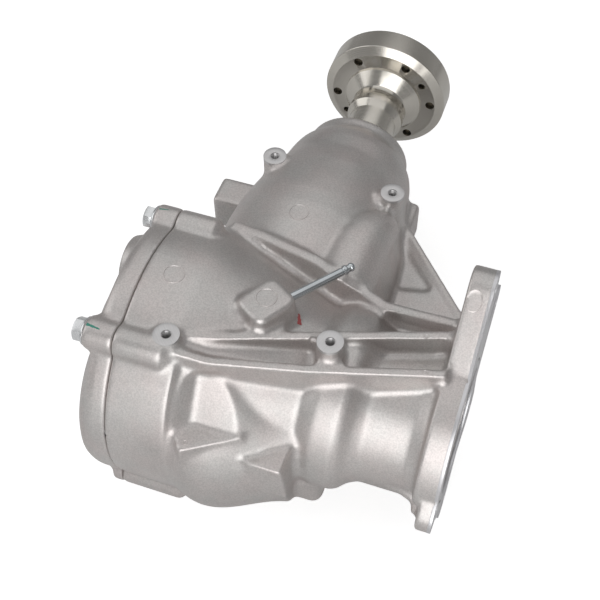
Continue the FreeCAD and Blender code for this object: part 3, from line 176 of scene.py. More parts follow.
def turned(name: str, profile: Sequence[tuple[float, float]], segments: int = 96,
           closed: bool = False) -> bpy.types.Object:
    """Turns a profile about Z by extruding a ring from point to point.

    Args:
        name: name of the new object.
        profile: (height, radius) points in millimetres; a radius of 0 closes an end.
        segments: vertices round the axis.
        closed: whether the last point joins the first, as on a pierced piece.

    Returns:
        The new object, with its axis along Z.
    """
    least = 0.001 * MM
    points = [(height * MM, max(radius * MM, least)) for height, radius in profile]
    if closed:
        points = points + points[:1]
    deselect()
    bpy.ops.mesh.primitive_circle_add(vertices=segments, radius=points[0][1], fill_type="NOTHING",
                                      location=(0.0, 0.0, 0.0))
    piece = bpy.context.active_object
    piece.name = name
    bpy.ops.object.mode_set(mode="EDIT")
    bpy.ops.mesh.select_mode(type="EDGE")
    bpy.ops.mesh.select_all(action="SELECT")
    bpy.ops.transform.translate(value=(0.0, 0.0, points[0][0]))
    for (low, before), (high, after) in zip(points, points[1:]):
        bpy.ops.mesh.extrude_edges_move(TRANSFORM_OT_translate={"value": (0.0, 0.0, high - low)})
        ratio = after / before
        bpy.ops.transform.resize(value=(ratio, ratio, 1.0), center_override=(0.0, 0.0, high))
    bpy.ops.mesh.select_all(action="SELECT")
    bpy.ops.mesh.remove_doubles(threshold=2.5 * least)
    bpy.ops.mesh.normals_make_consistent(inside=False)
    bpy.ops.object.mode_set(mode="OBJECT")
    return piece


def lay(piece: bpy.types.Object, axis: Axis, spot: Sequence[float]) -> bpy.types.Object:
    """Turns a piece made along Z on to an axis and moves it to its spot.

    Args:
        piece: the object.
        axis: the axis that its Z becomes.
        spot: where its origin goes, in metres.

    Returns:
        The same object, settled.
    """
    turns = {Axis.X: Matrix.Rotation(math.radians(90.0), 4, "Y"),
             Axis.Y: Matrix.Rotation(math.radians(-90.0), 4, "X"),
             Axis.Z: Matrix.Identity(4)}
    piece.matrix_world = Matrix.Translation(Vector(spot)) @ turns[axis]
    settle(piece)
    return piece


def bore(piece: bpy.types.Object, holes: Iterable[Hole]) -> None:
    """Cuts round holes through a piece.

    Args:
        piece: the object to cut.
        holes: the holes, none of which overlaps another.
    """
    drills = []
    for axis, middle, radius, length in holes:
        deselect()
        bpy.ops.mesh.primitive_cylinder_add(vertices=40, radius=radius * MM, depth=length * MM)
        drills.append(lay(bpy.context.active_object, axis, middle))
    drill = join(drills, "drill")
    modify(piece, "BOOLEAN", operation="DIFFERENCE", object=drill, solver="EXACT")
    bpy.data.objects.remove(drill, do_unlink=True)


class Net:
    """A small helper that builds a shader's node tree."""

    def __init__(self, name: str) -> None:
        """Starts an empty material with an output and a Principled shader.

        Args:
            name: name of the material.
        """
        self.material = bpy.data.materials.new(name)
        self.material.use_nodes = True
        self.tree = self.material.node_tree
        self.tree.nodes.clear()
        output = self.add("ShaderNodeOutputMaterial")
        self.shader = self.add("ShaderNodeBsdfPrincipled")
        self.link(self.shader, "BSDF", output, "Surface")
        self.place = self.add("ShaderNodeTexCoord")

    def add(self, kind: str, **settings: object) -> bpy.types.Node:
        """Adds a node and sets its properties.

        Args:
            kind: Blender's node type.
            settings: properties of the node by name.

        Returns:
            The node.
        """
        node = self.tree.nodes.new(kind)
        for name, value in settings.items():
            setattr(node, name, value)
        return node

    def link(self, start: bpy.types.Node, out: str | int, end: bpy.types.Node, into: str | int) -> None:
        """Links an output socket to an input socket.

        Args:
            start: node that gives the value.
            out: its output socket.
            end: node that takes the value.
            into: its input socket.
        """
        self.tree.links.new(start.outputs[out], end.inputs[into])

    def noise(self, scale: float, detail: float = 2.0, roughness: float = 0.5) -> bpy.types.Node:
        """Adds a noise on Object coordinates.

        Args:
            scale: features for each metre.
            detail: octaves.
            roughness: weight of the finer octaves.

        Returns:
            The noise node.
        """
        node = self.add("ShaderNodeTexNoise")
        node.inputs["Scale"].default_value = scale
        node.inputs["Detail"].default_value = detail
        node.inputs["Roughness"].default_value = roughness
        self.link(self.place, "Object", node, "Vector")
        return node

    def rings(self, axis: Axis, scale: float) -> bpy.types.Node:
        """Adds a noise that is the same all round an axis, as tool marks on a turned piece are.

        Args:
            axis: the axis of turning, through the origin.
            scale: marks for each metre.

        Returns:
            The noise node.
        """
        split = self.add("ShaderNodeSeparateXYZ")
        self.link(self.place, "Object", split, "Vector")
        across = [i for i in range(3) if i != axis.value]
        flat = self.add("ShaderNodeCombineXYZ")
        for i in across:
            self.link(split, i, flat, i)
        reach = self.add("ShaderNodeVectorMath", operation="LENGTH")
        self.link(flat, "Vector", reach, 0)
        both = self.add("ShaderNodeCombineXYZ")
        self.link(reach, "Value", both, 0)
        self.link(split, axis.value, both, 1)
        node = self.add("ShaderNodeTexNoise")
        node.inputs["Scale"].default_value = scale
        node.inputs["Detail"].default_value = 3.0
        self.link(both, "Vector", node, "Vector")
        return node

    def ramp(self, source: bpy.types.Node, out: str | int,
             stops: Sequence[tuple[float, Sequence[float]]]) -> bpy.types.Node:
        """Adds a colour ramp.

        Args:
            source: node that drives it.
            out: socket of that node.
            stops: (position, colour) pairs.

        Returns:
            The ramp node.
        """
        node = self.add("ShaderNodeValToRGB")
        elements = node.color_ramp.elements
        while len(elements) < len(stops):
            elements.new(0.5)
        for element, (position, colour) in zip(elements, stops):
            element.position = position
            element.color = (*colour, 1.0)
        self.link(source, out, node, "Fac")
        return node

    def blend(self, mode: str, share: float | bpy.types.Node, first: bpy.types.Node,
              second: bpy.types.Node | Sequence[float]) -> bpy.types.Node:
        """Mixes two colours.

        Args:
            mode: Blender's blend type.
            share: how much of the second, or a ramp that gives it.
            first: node whose colour is below.
            second: node or colour above it.

        Returns:
            The mix node, whose result is output 2.
        """
        node = self.add("ShaderNodeMix", data_type="RGBA", blend_type=mode)
        if isinstance(share, bpy.types.Node):
            self.link(share, 0, node, 0)
        else:
            node.inputs[0].default_value = share
        self.tree.links.new(colour_of(first), node.inputs[6])
        if isinstance(second, bpy.types.Node):
            self.tree.links.new(colour_of(second), node.inputs[7])
        else:
            node.inputs[7].default_value = (*second, 1.0)
        return node

    def span(self, source: bpy.types.Node, out: str | int, low: float, high: float,
             start: float = 0.0, end: float = 1.0) -> bpy.types.Node:
        """Maps a value to a range.

        Args:
            source: node that drives it.
            out: socket of that node.
            low: result at start.
            high: result at end.
            start: value that gives low.
            end: value that gives high.

        Returns:
            The range node.
        """
        node = self.add("ShaderNodeMapRange")
        self.link(source, out, node, "Value")
        for name, value in (("From Min", start), ("From Max", end), ("To Min", low), ("To Max", high)):
            node.inputs[name].default_value = value
        return node

    def bump(self, source: bpy.types.Node, out: str | int, strength: float, depth: float,
             below: bpy.types.Node | None = None) -> bpy.types.Node:
        """Adds a bump.

        Args:
            source: node that gives the height.
            out: socket of that node.
            strength: share of the effect.
            depth: height in metres.
            below: an earlier bump that this one adds to.

        Returns:
            The bump node.
        """
        node = self.add("ShaderNodeBump")
        node.inputs["Strength"].default_value = strength
        node.inputs["Distance"].default_value = depth
        self.link(source, out, node, "Height")
        if below is not None:
            self.link(below, "Normal", node, "Normal")
        return node


def colour_of(node: bpy.types.Node) -> bpy.types.NodeSocket:
    """Gives a node's colour output, which is the third on a mix node.

    Args:
        node: a mix node or a colour ramp.

    Returns:
        The output socket.
    """
    return node.outputs[2] if node.bl_idname == "ShaderNodeMix" else node.outputs["Color"]


@dataclass(frozen=True)
class Finish:
    """A finish, built once as a material."""

    name: str
    colour: tuple[float, float, float]
    metallic: float = 1.0
    roughness: float = 0.4

    def material(self) -> bpy.types.Material:
        """Returns this finish's material, made on first use."""
        known = bpy.data.materials.get(self.name)
        if known is not None:
            return known
        net = Net(self.name)
        net.shader.inputs["Metallic"].default_value = self.metallic
        self.dress(net)
        return net.material

    def dress(self, net: Net) -> None:
        """Gives the shader a lightly mottled colour and roughness.

        Args:
            net: the material's node tree.
        """
        mottle = net.noise(120.0, 3.0)
        shades = net.ramp(mottle, "Fac", [(0.3, scaled(self.colour, 0.92)), (0.7, scaled(self.colour, 1.06))])
        net.link(shades, "Color", net.shader, "Base Color")
        rough = net.span(mottle, "Fac", self.roughness - 0.05, self.roughness + 0.06)
        net.link(rough, "Result", net.shader, "Roughness")

    def wear(self, piece: bpy.types.Object) -> None:
        """Puts this finish on a whole piece.

        Args:
            piece: the object to dress.
        """
        piece.data.materials.clear()
        piece.data.materials.append(self.material())


def scaled(colour: Sequence[float], factor: float) -> tuple[float, float, float]:
    """Makes a colour lighter or darker.

    Args:
        colour: red, green and blue.
        factor: what each channel is multiplied by.

    Returns:
        The new colour, no channel of which is above 1.
    """
    return tuple(min(channel * factor, 1.0) for channel in colour)


@dataclass(frozen=True)
class CastAluminium(Finish):
    """Shot-blasted casting: a fine satin grain, faint stains, convex edges lightened (partly rubbed wear,
    partly a painted highlight) and painted shade in the hollows.

    Grain and lumps are features for each metre, and their depths are in millimetres.
    """

    grain: float = 850.0
    grain_depth: float = 0.16
    lumps: float = 170.0
    lump_depth: float = 0.3

    def dress(self, net: Net) -> None:
        """Builds the casting's colour, roughness and grain.

        Args:
            net: the material's node tree.
        """
        stain = net.noise(16.0, 4.0, roughness=0.55)
        base = net.ramp(stain, "Fac", [(0.30, scaled(self.colour, 0.90)), (0.50, self.colour),
                                       (0.72, scaled(self.colour, 1.07))])
        warm = net.noise(38.0, 3.0)
        tint = net.ramp(warm, "Fac", [(0.35, (1.0, 0.985, 0.985)), (0.65, (0.975, 1.0, 1.0))])
        toned = net.blend("MULTIPLY", 1.0, base, tint)
        grain = net.noise(self.grain, 2.0, roughness=0.7)
        speckle = net.ramp(grain, "Fac", [(0.38, (0.88, 0.88, 0.88)), (0.62, (1.08, 1.08, 1.08))])
        speckled = net.blend("MULTIPLY", 0.9, toned, speckle)
        shape = net.add("ShaderNodeNewGeometry")
        # Lighter colour on convex edges: partly rubbed wear, partly a painted highlight where light catches
        # the edges
        edge = net.ramp(shape, "Pointiness", [(0.515, (0.0, 0.0, 0.0)), (0.56, (0.55, 0.55, 0.55))])
        rubbed_and_edge_lit = net.blend("MIX", edge, speckled, scaled(self.colour, 1.22))
        # Darker colour in hollows and pockets: painted shade where the light does not reach
        hollow_shade_mask = net.ramp(shape, "Pointiness", [(0.43, (0.5, 0.5, 0.5)), (0.485, (0.0, 0.0, 0.0))])
        hollows_shaded = net.blend("MIX", hollow_shade_mask, rubbed_and_edge_lit, scaled(self.colour, 0.80))
        net.tree.links.new(colour_of(hollows_shaded), net.shader.inputs["Base Color"])
        rough = net.span(stain, "Fac", self.roughness - 0.05, self.roughness + 0.05, 0.3, 0.7)
        net.link(rough, "Result", net.shader, "Roughness")
        lumps = net.noise(self.lumps, 2.0)
        soft = net.bump(lumps, "Fac", 0.25, self.lump_depth * MM)
        fine = net.bump(grain, "Fac", 0.30, self.grain_depth * MM, soft)
        net.link(fine, "Normal", net.shader, "Normal")


@dataclass(frozen=True)
class Machined(Finish):
    """A milled or turned face with fine tool marks round one axis.

    Marks are counted for each metre, and their depth is in millimetres.
    """

    axis: Axis = Axis.Y
    marks: float = 2600.0
    depth: float = 0.03

    def dress(self, net: Net) -> None:
        """Builds the tool marks in colour, roughness and bump.

        Args:
            net: the material's node tree.
        """
        rings = net.rings(self.axis, self.marks)
        shades = net.ramp(rings, "Fac", [(0.3, scaled(self.colour, 0.93)), (0.7, scaled(self.colour, 1.05))])
        stain = net.noise(45.0, 3.0)
        smear = net.ramp(stain, "Fac", [(0.35, (0.95, 0.95, 0.95)), (0.65, (1.0, 1.0, 1.0))])
        toned = net.blend("MULTIPLY", 1.0, shades, smear)
        net.tree.links.new(colour_of(toned), net.shader.inputs["Base Color"])
        rough = net.span(rings, "Fac", self.roughness - 0.05, self.roughness + 0.06, 0.3, 0.7)
        net.link(rough, "Result", net.shader, "Roughness")
        marks = net.bump(rings, "Fac", 0.5, self.depth * MM)
        net.link(marks, "Normal", net.shader, "Normal")


@dataclass(frozen=True)
class Rubber(Finish):
    """Moulded black rubber with an oily sheen."""

    grain: float = 900.0
    grain_depth: float = 0.08

    def dress(self, net: Net) -> None:
        """Builds the mottled black and its grain.

        Args:
            net: the material's node tree.
        """
        super().dress(net)
        grain = net.noise(self.grain, 2.0)
        net.link(net.bump(grain, "Fac", 0.4, self.grain_depth * MM), "Normal", net.shader, "Normal")
        net.shader.inputs["Coat Weight"].default_value = 0.15


CAST = CastAluminium("blasted_casting", (0.62, 0.585, 0.57), 0.85, 0.43)
MILLED = Machined("milled_aluminium", (0.72, 0.715, 0.73), 0.90, 0.38, Axis.X, 1500.0)
SPOT_FACED = Machined("spot_faced_aluminium", (0.66, 0.65, 0.65), 0.85, 0.36, Axis.Z, 1500.0)
TURNED = Machined("turned_steel", (0.66, 0.63, 0.575), 1.0, 0.20, Axis.Y, 2600.0, 0.01)
GROUND = Machined("ground_steel", (0.52, 0.52, 0.53), 1.0, 0.22, Axis.X, 3000.0)
GROUND_Y = Machined("ground_steel_output", (0.52, 0.52, 0.53), 1.0, 0.22, Axis.Y, 3000.0)
ZINC = Finish("bright_zinc", (0.80, 0.81, 0.82), 1.0, 0.27)
# Bright zinc darker than the bolts' zinc: painted shade standing in for the dark reflected bands along the
# tube
ZINC_SHADED_DARK = Finish("bright_zinc_painted_darker", (0.56, 0.59, 0.61), 1.0, 0.17)
PRESSED = Finish("pressed_steel", (0.50, 0.49, 0.45), 1.0, 0.38)
COPPER = Finish("annealed_copper", (0.78, 0.43, 0.30), 1.0, 0.34)
RUBBER = Rubber("black_rubber", (0.02, 0.02, 0.021), 0.0, 0.42)
GREEN = Finish("green_paint", (0.05, 0.26, 0.20), 0.0, 0.5)
RED = Finish("red_paint", (0.42, 0.09, 0.09), 0.0, 0.45)


@dataclass
class Casting:
    """A cast piece whose inner corners are filled with a radius and whose edges are rounded.

    The spot faces are cut after the holes, because the two overlap. Voxel is the spacing of the skin's grid
    and fillet the radius in the corners, in millimetres.
    """

    node: str
    holes: Sequence[Hole]
    spot_faces: Sequence[Hole] = ()
    voxel: float = 1.2
    fillet: float = 3.2
    triangles: int = 190000

    def build(self) -> bpy.types.Object:
        """Builds the casting over its node.

        Returns:
            The new piece, which stands for the node.
        """
        piece = copy_node(self.node, self.node + "_cast")
        self.round_off(piece)
        CAST.wear(piece)
        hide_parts(self.node)
        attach(piece, "case")
        LOG.info("%s: %d faces", piece.name, len(piece.data.polygons))
        return piece

    def round_off(self, piece: bpy.types.Object) -> None:
        """Swells and shrinks the skin, which fills each inner corner with a fillet, and cuts the holes.

        Args:
            piece: the casting.
        """
        size = self.voxel * MM
        self.remesh(piece, size)
        modify(piece, "DISPLACE", strength=self.fillet * MM, mid_level=0.0)
        self.remesh(piece, size)
        modify(piece, "SMOOTH", factor=0.5, iterations=3)
        modify(piece, "DISPLACE", strength=-self.fillet * MM, mid_level=0.0)
        self.remesh(piece, size)
        modify(piece, "SMOOTH", factor=0.5, iterations=4)
        bore(piece, self.holes)
        if self.spot_faces:
            bore(piece, self.spot_faces)
        count = sum(len(face.vertices) - 2 for face in piece.data.polygons)
        modify(piece, "DECIMATE", ratio=min(1.0, self.triangles / count))
        smooth_by_angle(piece, 60.0)

    def remesh(self, piece: bpy.types.Object, size: float) -> None:
        """Rebuilds the skin on an even grid.

        Args:
            piece: the casting.
            size: spacing of the grid in metres.
        """
        modify(piece, "REMESH", mode="VOXEL", voxel_size=size, adaptivity=0.0, use_smooth_shade=True)


@dataclass
class Land:
    """A machined face of a casting, cut from the node's own flat face and given a crisp edge.

    It faces along the axis (side 1) or against it (side -1). Its level, its thickness, how proud it stands
    and the width of its rounded edge are in millimetres, and so is flatness, the most that a face may lie
    off the level.
    """

    name: str
    node: str
    axis: Axis
    level: float
    side: int
    finish: Finish
    thickness: float = 2.0
    proud: float = 0.06
    edge: float = 0.25
    flatness: float = 0.05
    within: Callable[[Vector], bool] = lambda spot: True

    def build(self) -> bpy.types.Object:
        """Builds the land.

        Returns:
            The new piece.
        """
        piece = copy_node(self.node, self.name)
        mesh = piece.data
        bpy.ops.object.mode_set(mode="EDIT")
        bpy.ops.mesh.select_mode(type="FACE")
        bpy.ops.mesh.select_all(action="DESELECT")
        bpy.ops.object.mode_set(mode="OBJECT")
        for polygon in mesh.polygons:
            flat = polygon.normal[self.axis.value] * self.side > 0.999
            here = abs(polygon.center[self.axis.value] - self.level * MM) < self.flatness * MM
            polygon.select = not (flat and here and self.within(polygon.center / MM))
        activate(piece)
        bpy.ops.object.mode_set(mode="EDIT")
        bpy.ops.mesh.delete(type="FACE")
        bpy.ops.mesh.select_all(action="SELECT")
        shift = [0.0, 0.0, 0.0]
        shift[self.axis.value] = self.side * self.proud * MM
        bpy.ops.transform.translate(value=shift)
        bpy.ops.object.mode_set(mode="OBJECT")
        modify(piece, "SOLIDIFY", thickness=self.thickness * MM, offset=-1.0)
        round_edges(piece, self.edge, 40.0)
        smooth_by_angle(piece, 30.0)
        self.finish.wear(piece)
        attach(piece, "case")
        LOG.info("%s: %d faces", piece.name, len(piece.data.polygons))
        return piece


@dataclass
class ThreadedBoss:
    """The countersunk mouth and thread of a tapped boss."""

    name: str
    spot: tuple[float, float, float]
    radius: float = 3.4
    depth: float = 11.5
    pitch: float = 1.25

    def build(self) -> bpy.types.Object:
        """Builds the lining of the hole.

        Returns:
            The new piece.
        """
        outer = self.radius + 0.5
        profile = [(0.0, self.radius + 1.1), (-0.9, self.radius + 0.1)]
        turns = int(self.depth / self.pitch)
        for i in range(1, turns):
            level = -0.9 - i * self.pitch
            profile.append((level + self.pitch * 0.5, self.radius - 0.35))
            profile.append((level, self.radius + 0.1))
        profile += [(-self.depth, outer), (-1.4, outer), (-0.4, self.radius + 1.4), (0.0, self.radius + 1.3)]
        piece = turned(self.name, profile, 48, closed=True)
        x, y, z = self.spot
        lay(piece, Axis.Z, (x * MM, y * MM, (z + 0.08) * MM))
        smooth_by_angle(piece, 30.0)
        SPOT_FACED.wear(piece)
        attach(piece, "case")
        LOG.info("%s: thread of %d turns", piece.name, turns)
        return piece


@dataclass
class PinMarks:
    """Round marks with a fine raised ring, which the die's ejector pins leave on the casting.

    Over the skin, in millimetres, the ring stands at raised, the middle at field and the sunk rim at foot.
    """

    name: str
    spots: Sequence[tuple[float, float]]
    radius: float = 7.6
    raised: float = 0.42
    field: float = 0.05
    foot: float = -0.25
    step: float = 0.25
    thickness: float = 0.6

    def build(self, casting: bpy.types.Object) -> bpy.types.Object:
        """Builds every mark on the skin of a casting.

        Args:
            casting: the cast piece that the marks lie on.

        Returns:
            The marks as one piece.
        """
        marks = []
        for x, y in self.spots:
            deselect()
            bpy.ops.mesh.primitive_circle_add(vertices=64, radius=self.radius * MM, fill_type="NGON")
            mark = bpy.context.active_object
            bpy.ops.object.mode_set(mode="EDIT")
            bpy.ops.mesh.select_all(action="SELECT")
            inner_steps = [share * self.radius for share in (0.25, 0.25, 0.2)]
            for width in [self.step] * 3 + inner_steps:
                bpy.ops.mesh.inset(thickness=width * MM)
            bpy.ops.object.mode_set(mode="OBJECT")
            lay(mark, Axis.Z, (x * MM, y * MM, ABOVE))
            modify(mark, "SHRINKWRAP", target=casting, wrap_method="PROJECT", use_project_z=True,
                   use_negative_direction=True, use_positive_direction=True)
            ring_outside = self.radius - 0.2
            ring_inside = self.radius - 0.6
            for vertex in mark.data.vertices:
                away = math.hypot(vertex.co.x / MM - x, vertex.co.y / MM - y)
                if away > ring_outside:
                    rise = self.foot
                elif away > ring_inside:
                    rise = self.raised
                else:
                    rise = self.field
                vertex.co.z += rise * MM
            marks.append(mark)
        piece = join(marks, self.name)
        modify(piece, "SOLIDIFY", thickness=self.thickness * MM, offset=-1.0)
        smooth_by_angle(piece, 40.0)
        CAST.wear(piece)
        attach(piece, "case")
        LOG.info("%s: %d marks", piece.name, len(self.spots))
        return piece


@dataclass
class PaintMark:
    """A thin tapered stroke of paint that lies on a piece.

    Start, end, width and thickness are in millimetres. Taper is the share of the width lost at the end.
    """

    name: str
    start: tuple[float, float]
    end: tuple[float, float]
    width: float
    finish: Finish
    taper: float = 0.65
    thickness: float = 0.2

    def build(self, target: bpy.types.Object) -> bpy.types.Object:
        """Builds the stroke on the upper side of a piece.

        Args:
            target: the piece that carries the paint.

        Returns:
            The stroke.
        """
        (x0, y0), (x1, y1) = self.start, self.end
        deselect()
        bpy.ops.mesh.primitive_grid_add(x_subdivisions=20, y_subdivisions=6, size=1.0)
        stroke = bpy.context.active_object
        stroke.name = self.name
        for vertex in stroke.data.vertices:
            along = vertex.co.x + 0.5
            ragged = 0.12 * math.sin(along * 17.0) + 0.08 * math.sin(along * 41.0)
            vertex.co.y *= (1.0 - self.taper * along ** 1.5 + ragged) * self.width * MM
            vertex.co.x *= math.dist(self.start, self.end) * MM
        stroke.matrix_world = (Matrix.Translation(((x0 + x1) * 0.5 * MM, (y0 + y1) * 0.5 * MM, ABOVE))
                               @ Matrix.Rotation(math.atan2(y1 - y0, x1 - x0), 4, "Z"))
        settle(stroke)
        modify(stroke, "SHRINKWRAP", target=target, wrap_method="PROJECT", use_project_z=True,
               use_negative_direction=True, use_positive_direction=False)
        for vertex in stroke.data.vertices:
            vertex.co.z += self.thickness * 0.5 * MM
        modify(stroke, "SOLIDIFY", thickness=self.thickness * MM, offset=-1.0)
        smooth_by_angle(stroke, 50.0)
        self.finish.wear(stroke)
        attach(stroke, "case")
        LOG.info("%s: %d faces", stroke.name, len(stroke.data.polygons))
        return stroke


@dataclass
class OutputFlange:
    """The turned companion flange with its bolt circle."""

    face: float = 336.0
    thickness: float = 26.0
    radius: float = 55.0
    hub_start: float = 204.0
    shaft_radius: float = 14.45
    nut_room: float = 303.0
    bolt_circle: float = 43.0
    bolt_radius: float = 4.0
    first_bolt: float = 5.0
    puller_circle: float = 41.0
    puller_radius: float = 3.0
    first_puller: float = 35.0

    def profile(self) -> list[tuple[float, float]]:
        """Returns the (distance along Y, radius) points of the section, in mm."""
        back = self.face - self.thickness
        face = self.face
        start = self.hub_start
        return [
            (start, self.shaft_radius), (start, 20.0), (start + 1.0, 21.0), (back - 34.0, 21.0),
            (back - 31.0, 22.6), (back - 28.0, 24.7), (back - 22.5, 24.7), (back - 21.6, 24.1),
            (back - 20.0, 23.7), (back - 13.0, 23.7), (back - 11.6, 24.3), (back - 10.6, 25.6),
            (back - 2.6, 34.4),
            (back - 1.9, 34.6), (back, 34.6), (back, 47.5), (back + 0.3, 48.0), (back + 4.0, 54.7),
            (back + 4.5, self.radius), (face - 0.8, self.radius), (face, self.radius - 0.8),
            (face, 30.6), (face - 0.6, 30.0), (face - 8.0, 30.0), (face - 8.0, 22.0), (self.nut_room, 22.0),
            (self.nut_room, self.shaft_radius)]

    def build(self) -> bpy.types.Object:
        """Builds the flange over its node.

        Returns:
            The new piece.
        """
        piece = turned("output_flange_turned", self.profile(), 160, closed=True)
        lay(piece, Axis.Y, (0.0, 0.0, 0.0))
        holes: list[Hole] = []
        level = self.face - self.thickness * 0.5
        for count, circle, radius, start in ((6, self.bolt_circle, self.bolt_radius, self.first_bolt),
                                             (2, self.puller_circle, self.puller_radius, self.first_puller)):
            for i in range(count):
                angle = math.radians(start + 360.0 * i / count)
                middle = (circle * math.cos(angle) * MM, level * MM, circle * math.sin(angle) * MM)
                holes.append((Axis.Y, middle, radius, self.thickness + 6.0))
        bore(piece, holes)
        round_edges(piece, 0.4, 50.0)
        smooth_by_angle(piece, 25.0)
        TURNED.wear(piece)
        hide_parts("output_flange")
        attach(piece, "output")
        LOG.info("%s: %d holes", piece.name, len(holes))
        return piece


@dataclass
class CoverBolts:
    """The hexagon flange bolts that hold the cover."""

    spots: Sequence[tuple[float, float]]
    circle: float
    rim: float = -98.0
    length: float = 42.0
    radius: float = 5.0
    flats: float = 15.0
    head_start: float = 1.8
    head_end: float = 9.0

    def one(self) -> bpy.types.Object:
        """Models one bolt along Z with its seat at the origin and its head below.

        Returns:
            The bolt.
        """
        washer = turned("bolt_washer", [
            (0.0, 0.0), (0.0, 9.8), (-0.5, 10.2), (-1.3, 10.0), (-2.2, 8.9), (-2.8, 7.4), (-3.0, 6.5),
            (-3.0, 0.0)], 64)
        deselect()
        bpy.ops.mesh.primitive_cylinder_add(
            vertices=6, radius=self.flats / math.sqrt(3.0) * MM, depth=(self.head_end - self.head_start) * MM,
            location=(0.0, 0.0, -(self.head_end + self.head_start) * 0.5 * MM))
        head = bpy.context.active_object
        settle(head)
        crown = turned("bolt_crown", [
            (0.0, 0.0), (0.0, 12.0), (-7.9, 9.2), (-self.head_end, 7.1), (-self.head_end, 5.0), (-8.5, 4.4),
            (-8.5, 0.0)], 64)
        modify(head, "BOOLEAN", operation="INTERSECT", object=crown, solver="EXACT")
        bpy.data.objects.remove(crown, do_unlink=True)
        round_edges(head, 0.3, 35.0)
        shank = turned("bolt_shank", [
            (0.0, 0.0), (0.0, self.radius), (self.length - 1.2, self.radius),
            (self.length, self.radius - 1.0), (self.length, 0.0)], 40)
        return join([washer, head, shank], "bolt")

    def build(self) -> bpy.types.Object:
        """Builds all the bolts over their node.

        Returns:
            The bolts as one piece.
        """
        model = self.one()
        bolts = []
        for i, (angle, stand) in enumerate(self.spots):
            bolt = model.copy()
            bolt.data = model.data.copy()
            bpy.context.scene.collection.objects.link(bolt)
            bolt.matrix_world = Matrix.Rotation(math.radians(11.0 * i + 7.0), 4, "Z")
            settle(bolt)
            turn = math.radians(angle)
            bolts.append(lay(bolt, Axis.X, ((self.rim - stand) * MM, self.circle * math.sin(turn) * MM,
                                            self.circle * math.cos(turn) * MM)))
        bpy.data.objects.remove(model, do_unlink=True)
        piece = join(bolts, "cover_bolts_plated")
        smooth_by_angle(piece, 30.0)
        ZINC.wear(piece)
        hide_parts("cover_bolts")
        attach(piece, "case")
        LOG.info("%s: %d bolts", piece.name, len(self.spots))
        return piece


@dataclass
class BreatherTube:
    """The plated tube that is pressed into the breather block, with a crimped bead near its end."""

    mouth: tuple[float, float, float] = (19.5, 15.8, 84.0)
    heading: float = 51.0
    reach: float = 48.5
    depth: float = 12.0
    radius: float = 3.0
    bore_radius: float = 1.9

    def build(self) -> bpy.types.Object:
        """Builds the tube over its node.

        Returns:
            The new piece.
        """
        end = self.reach
        radius = self.radius
        profile = [
            (-self.depth, self.bore_radius), (-self.depth, radius), (end - 10.0, radius),
            (end - 9.4, radius - 0.35), (end - 8.6, radius - 0.3), (end - 8.0, radius + 0.45),
            (end - 7.0, radius + 0.7), (end - 6.0, radius + 0.45), (end - 5.4, radius - 0.1),
            (end - 3.2, radius - 0.15), (end - 2.6, radius + 0.25), (end - 1.8, radius + 0.25),
            (end - 0.6, radius - 0.4), (end, radius - 0.75), (end, self.bore_radius)]
        piece = turned("breather_tube_plated", profile, 48, closed=True)
        piece.matrix_world = (Matrix.Translation(Vector(self.mouth) * MM)
                              @ Matrix.Rotation(math.radians(self.heading), 4, "Z")
                              @ Matrix.Rotation(math.radians(90.0), 4, "Y"))
        settle(piece)
        smooth_by_angle(piece, 30.0)
        ZINC_SHADED_DARK.wear(piece)
        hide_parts("breather_tube")
        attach(piece, "case")
        LOG.info("%s: reaches %.1f mm", piece.name, self.reach)
        return piece


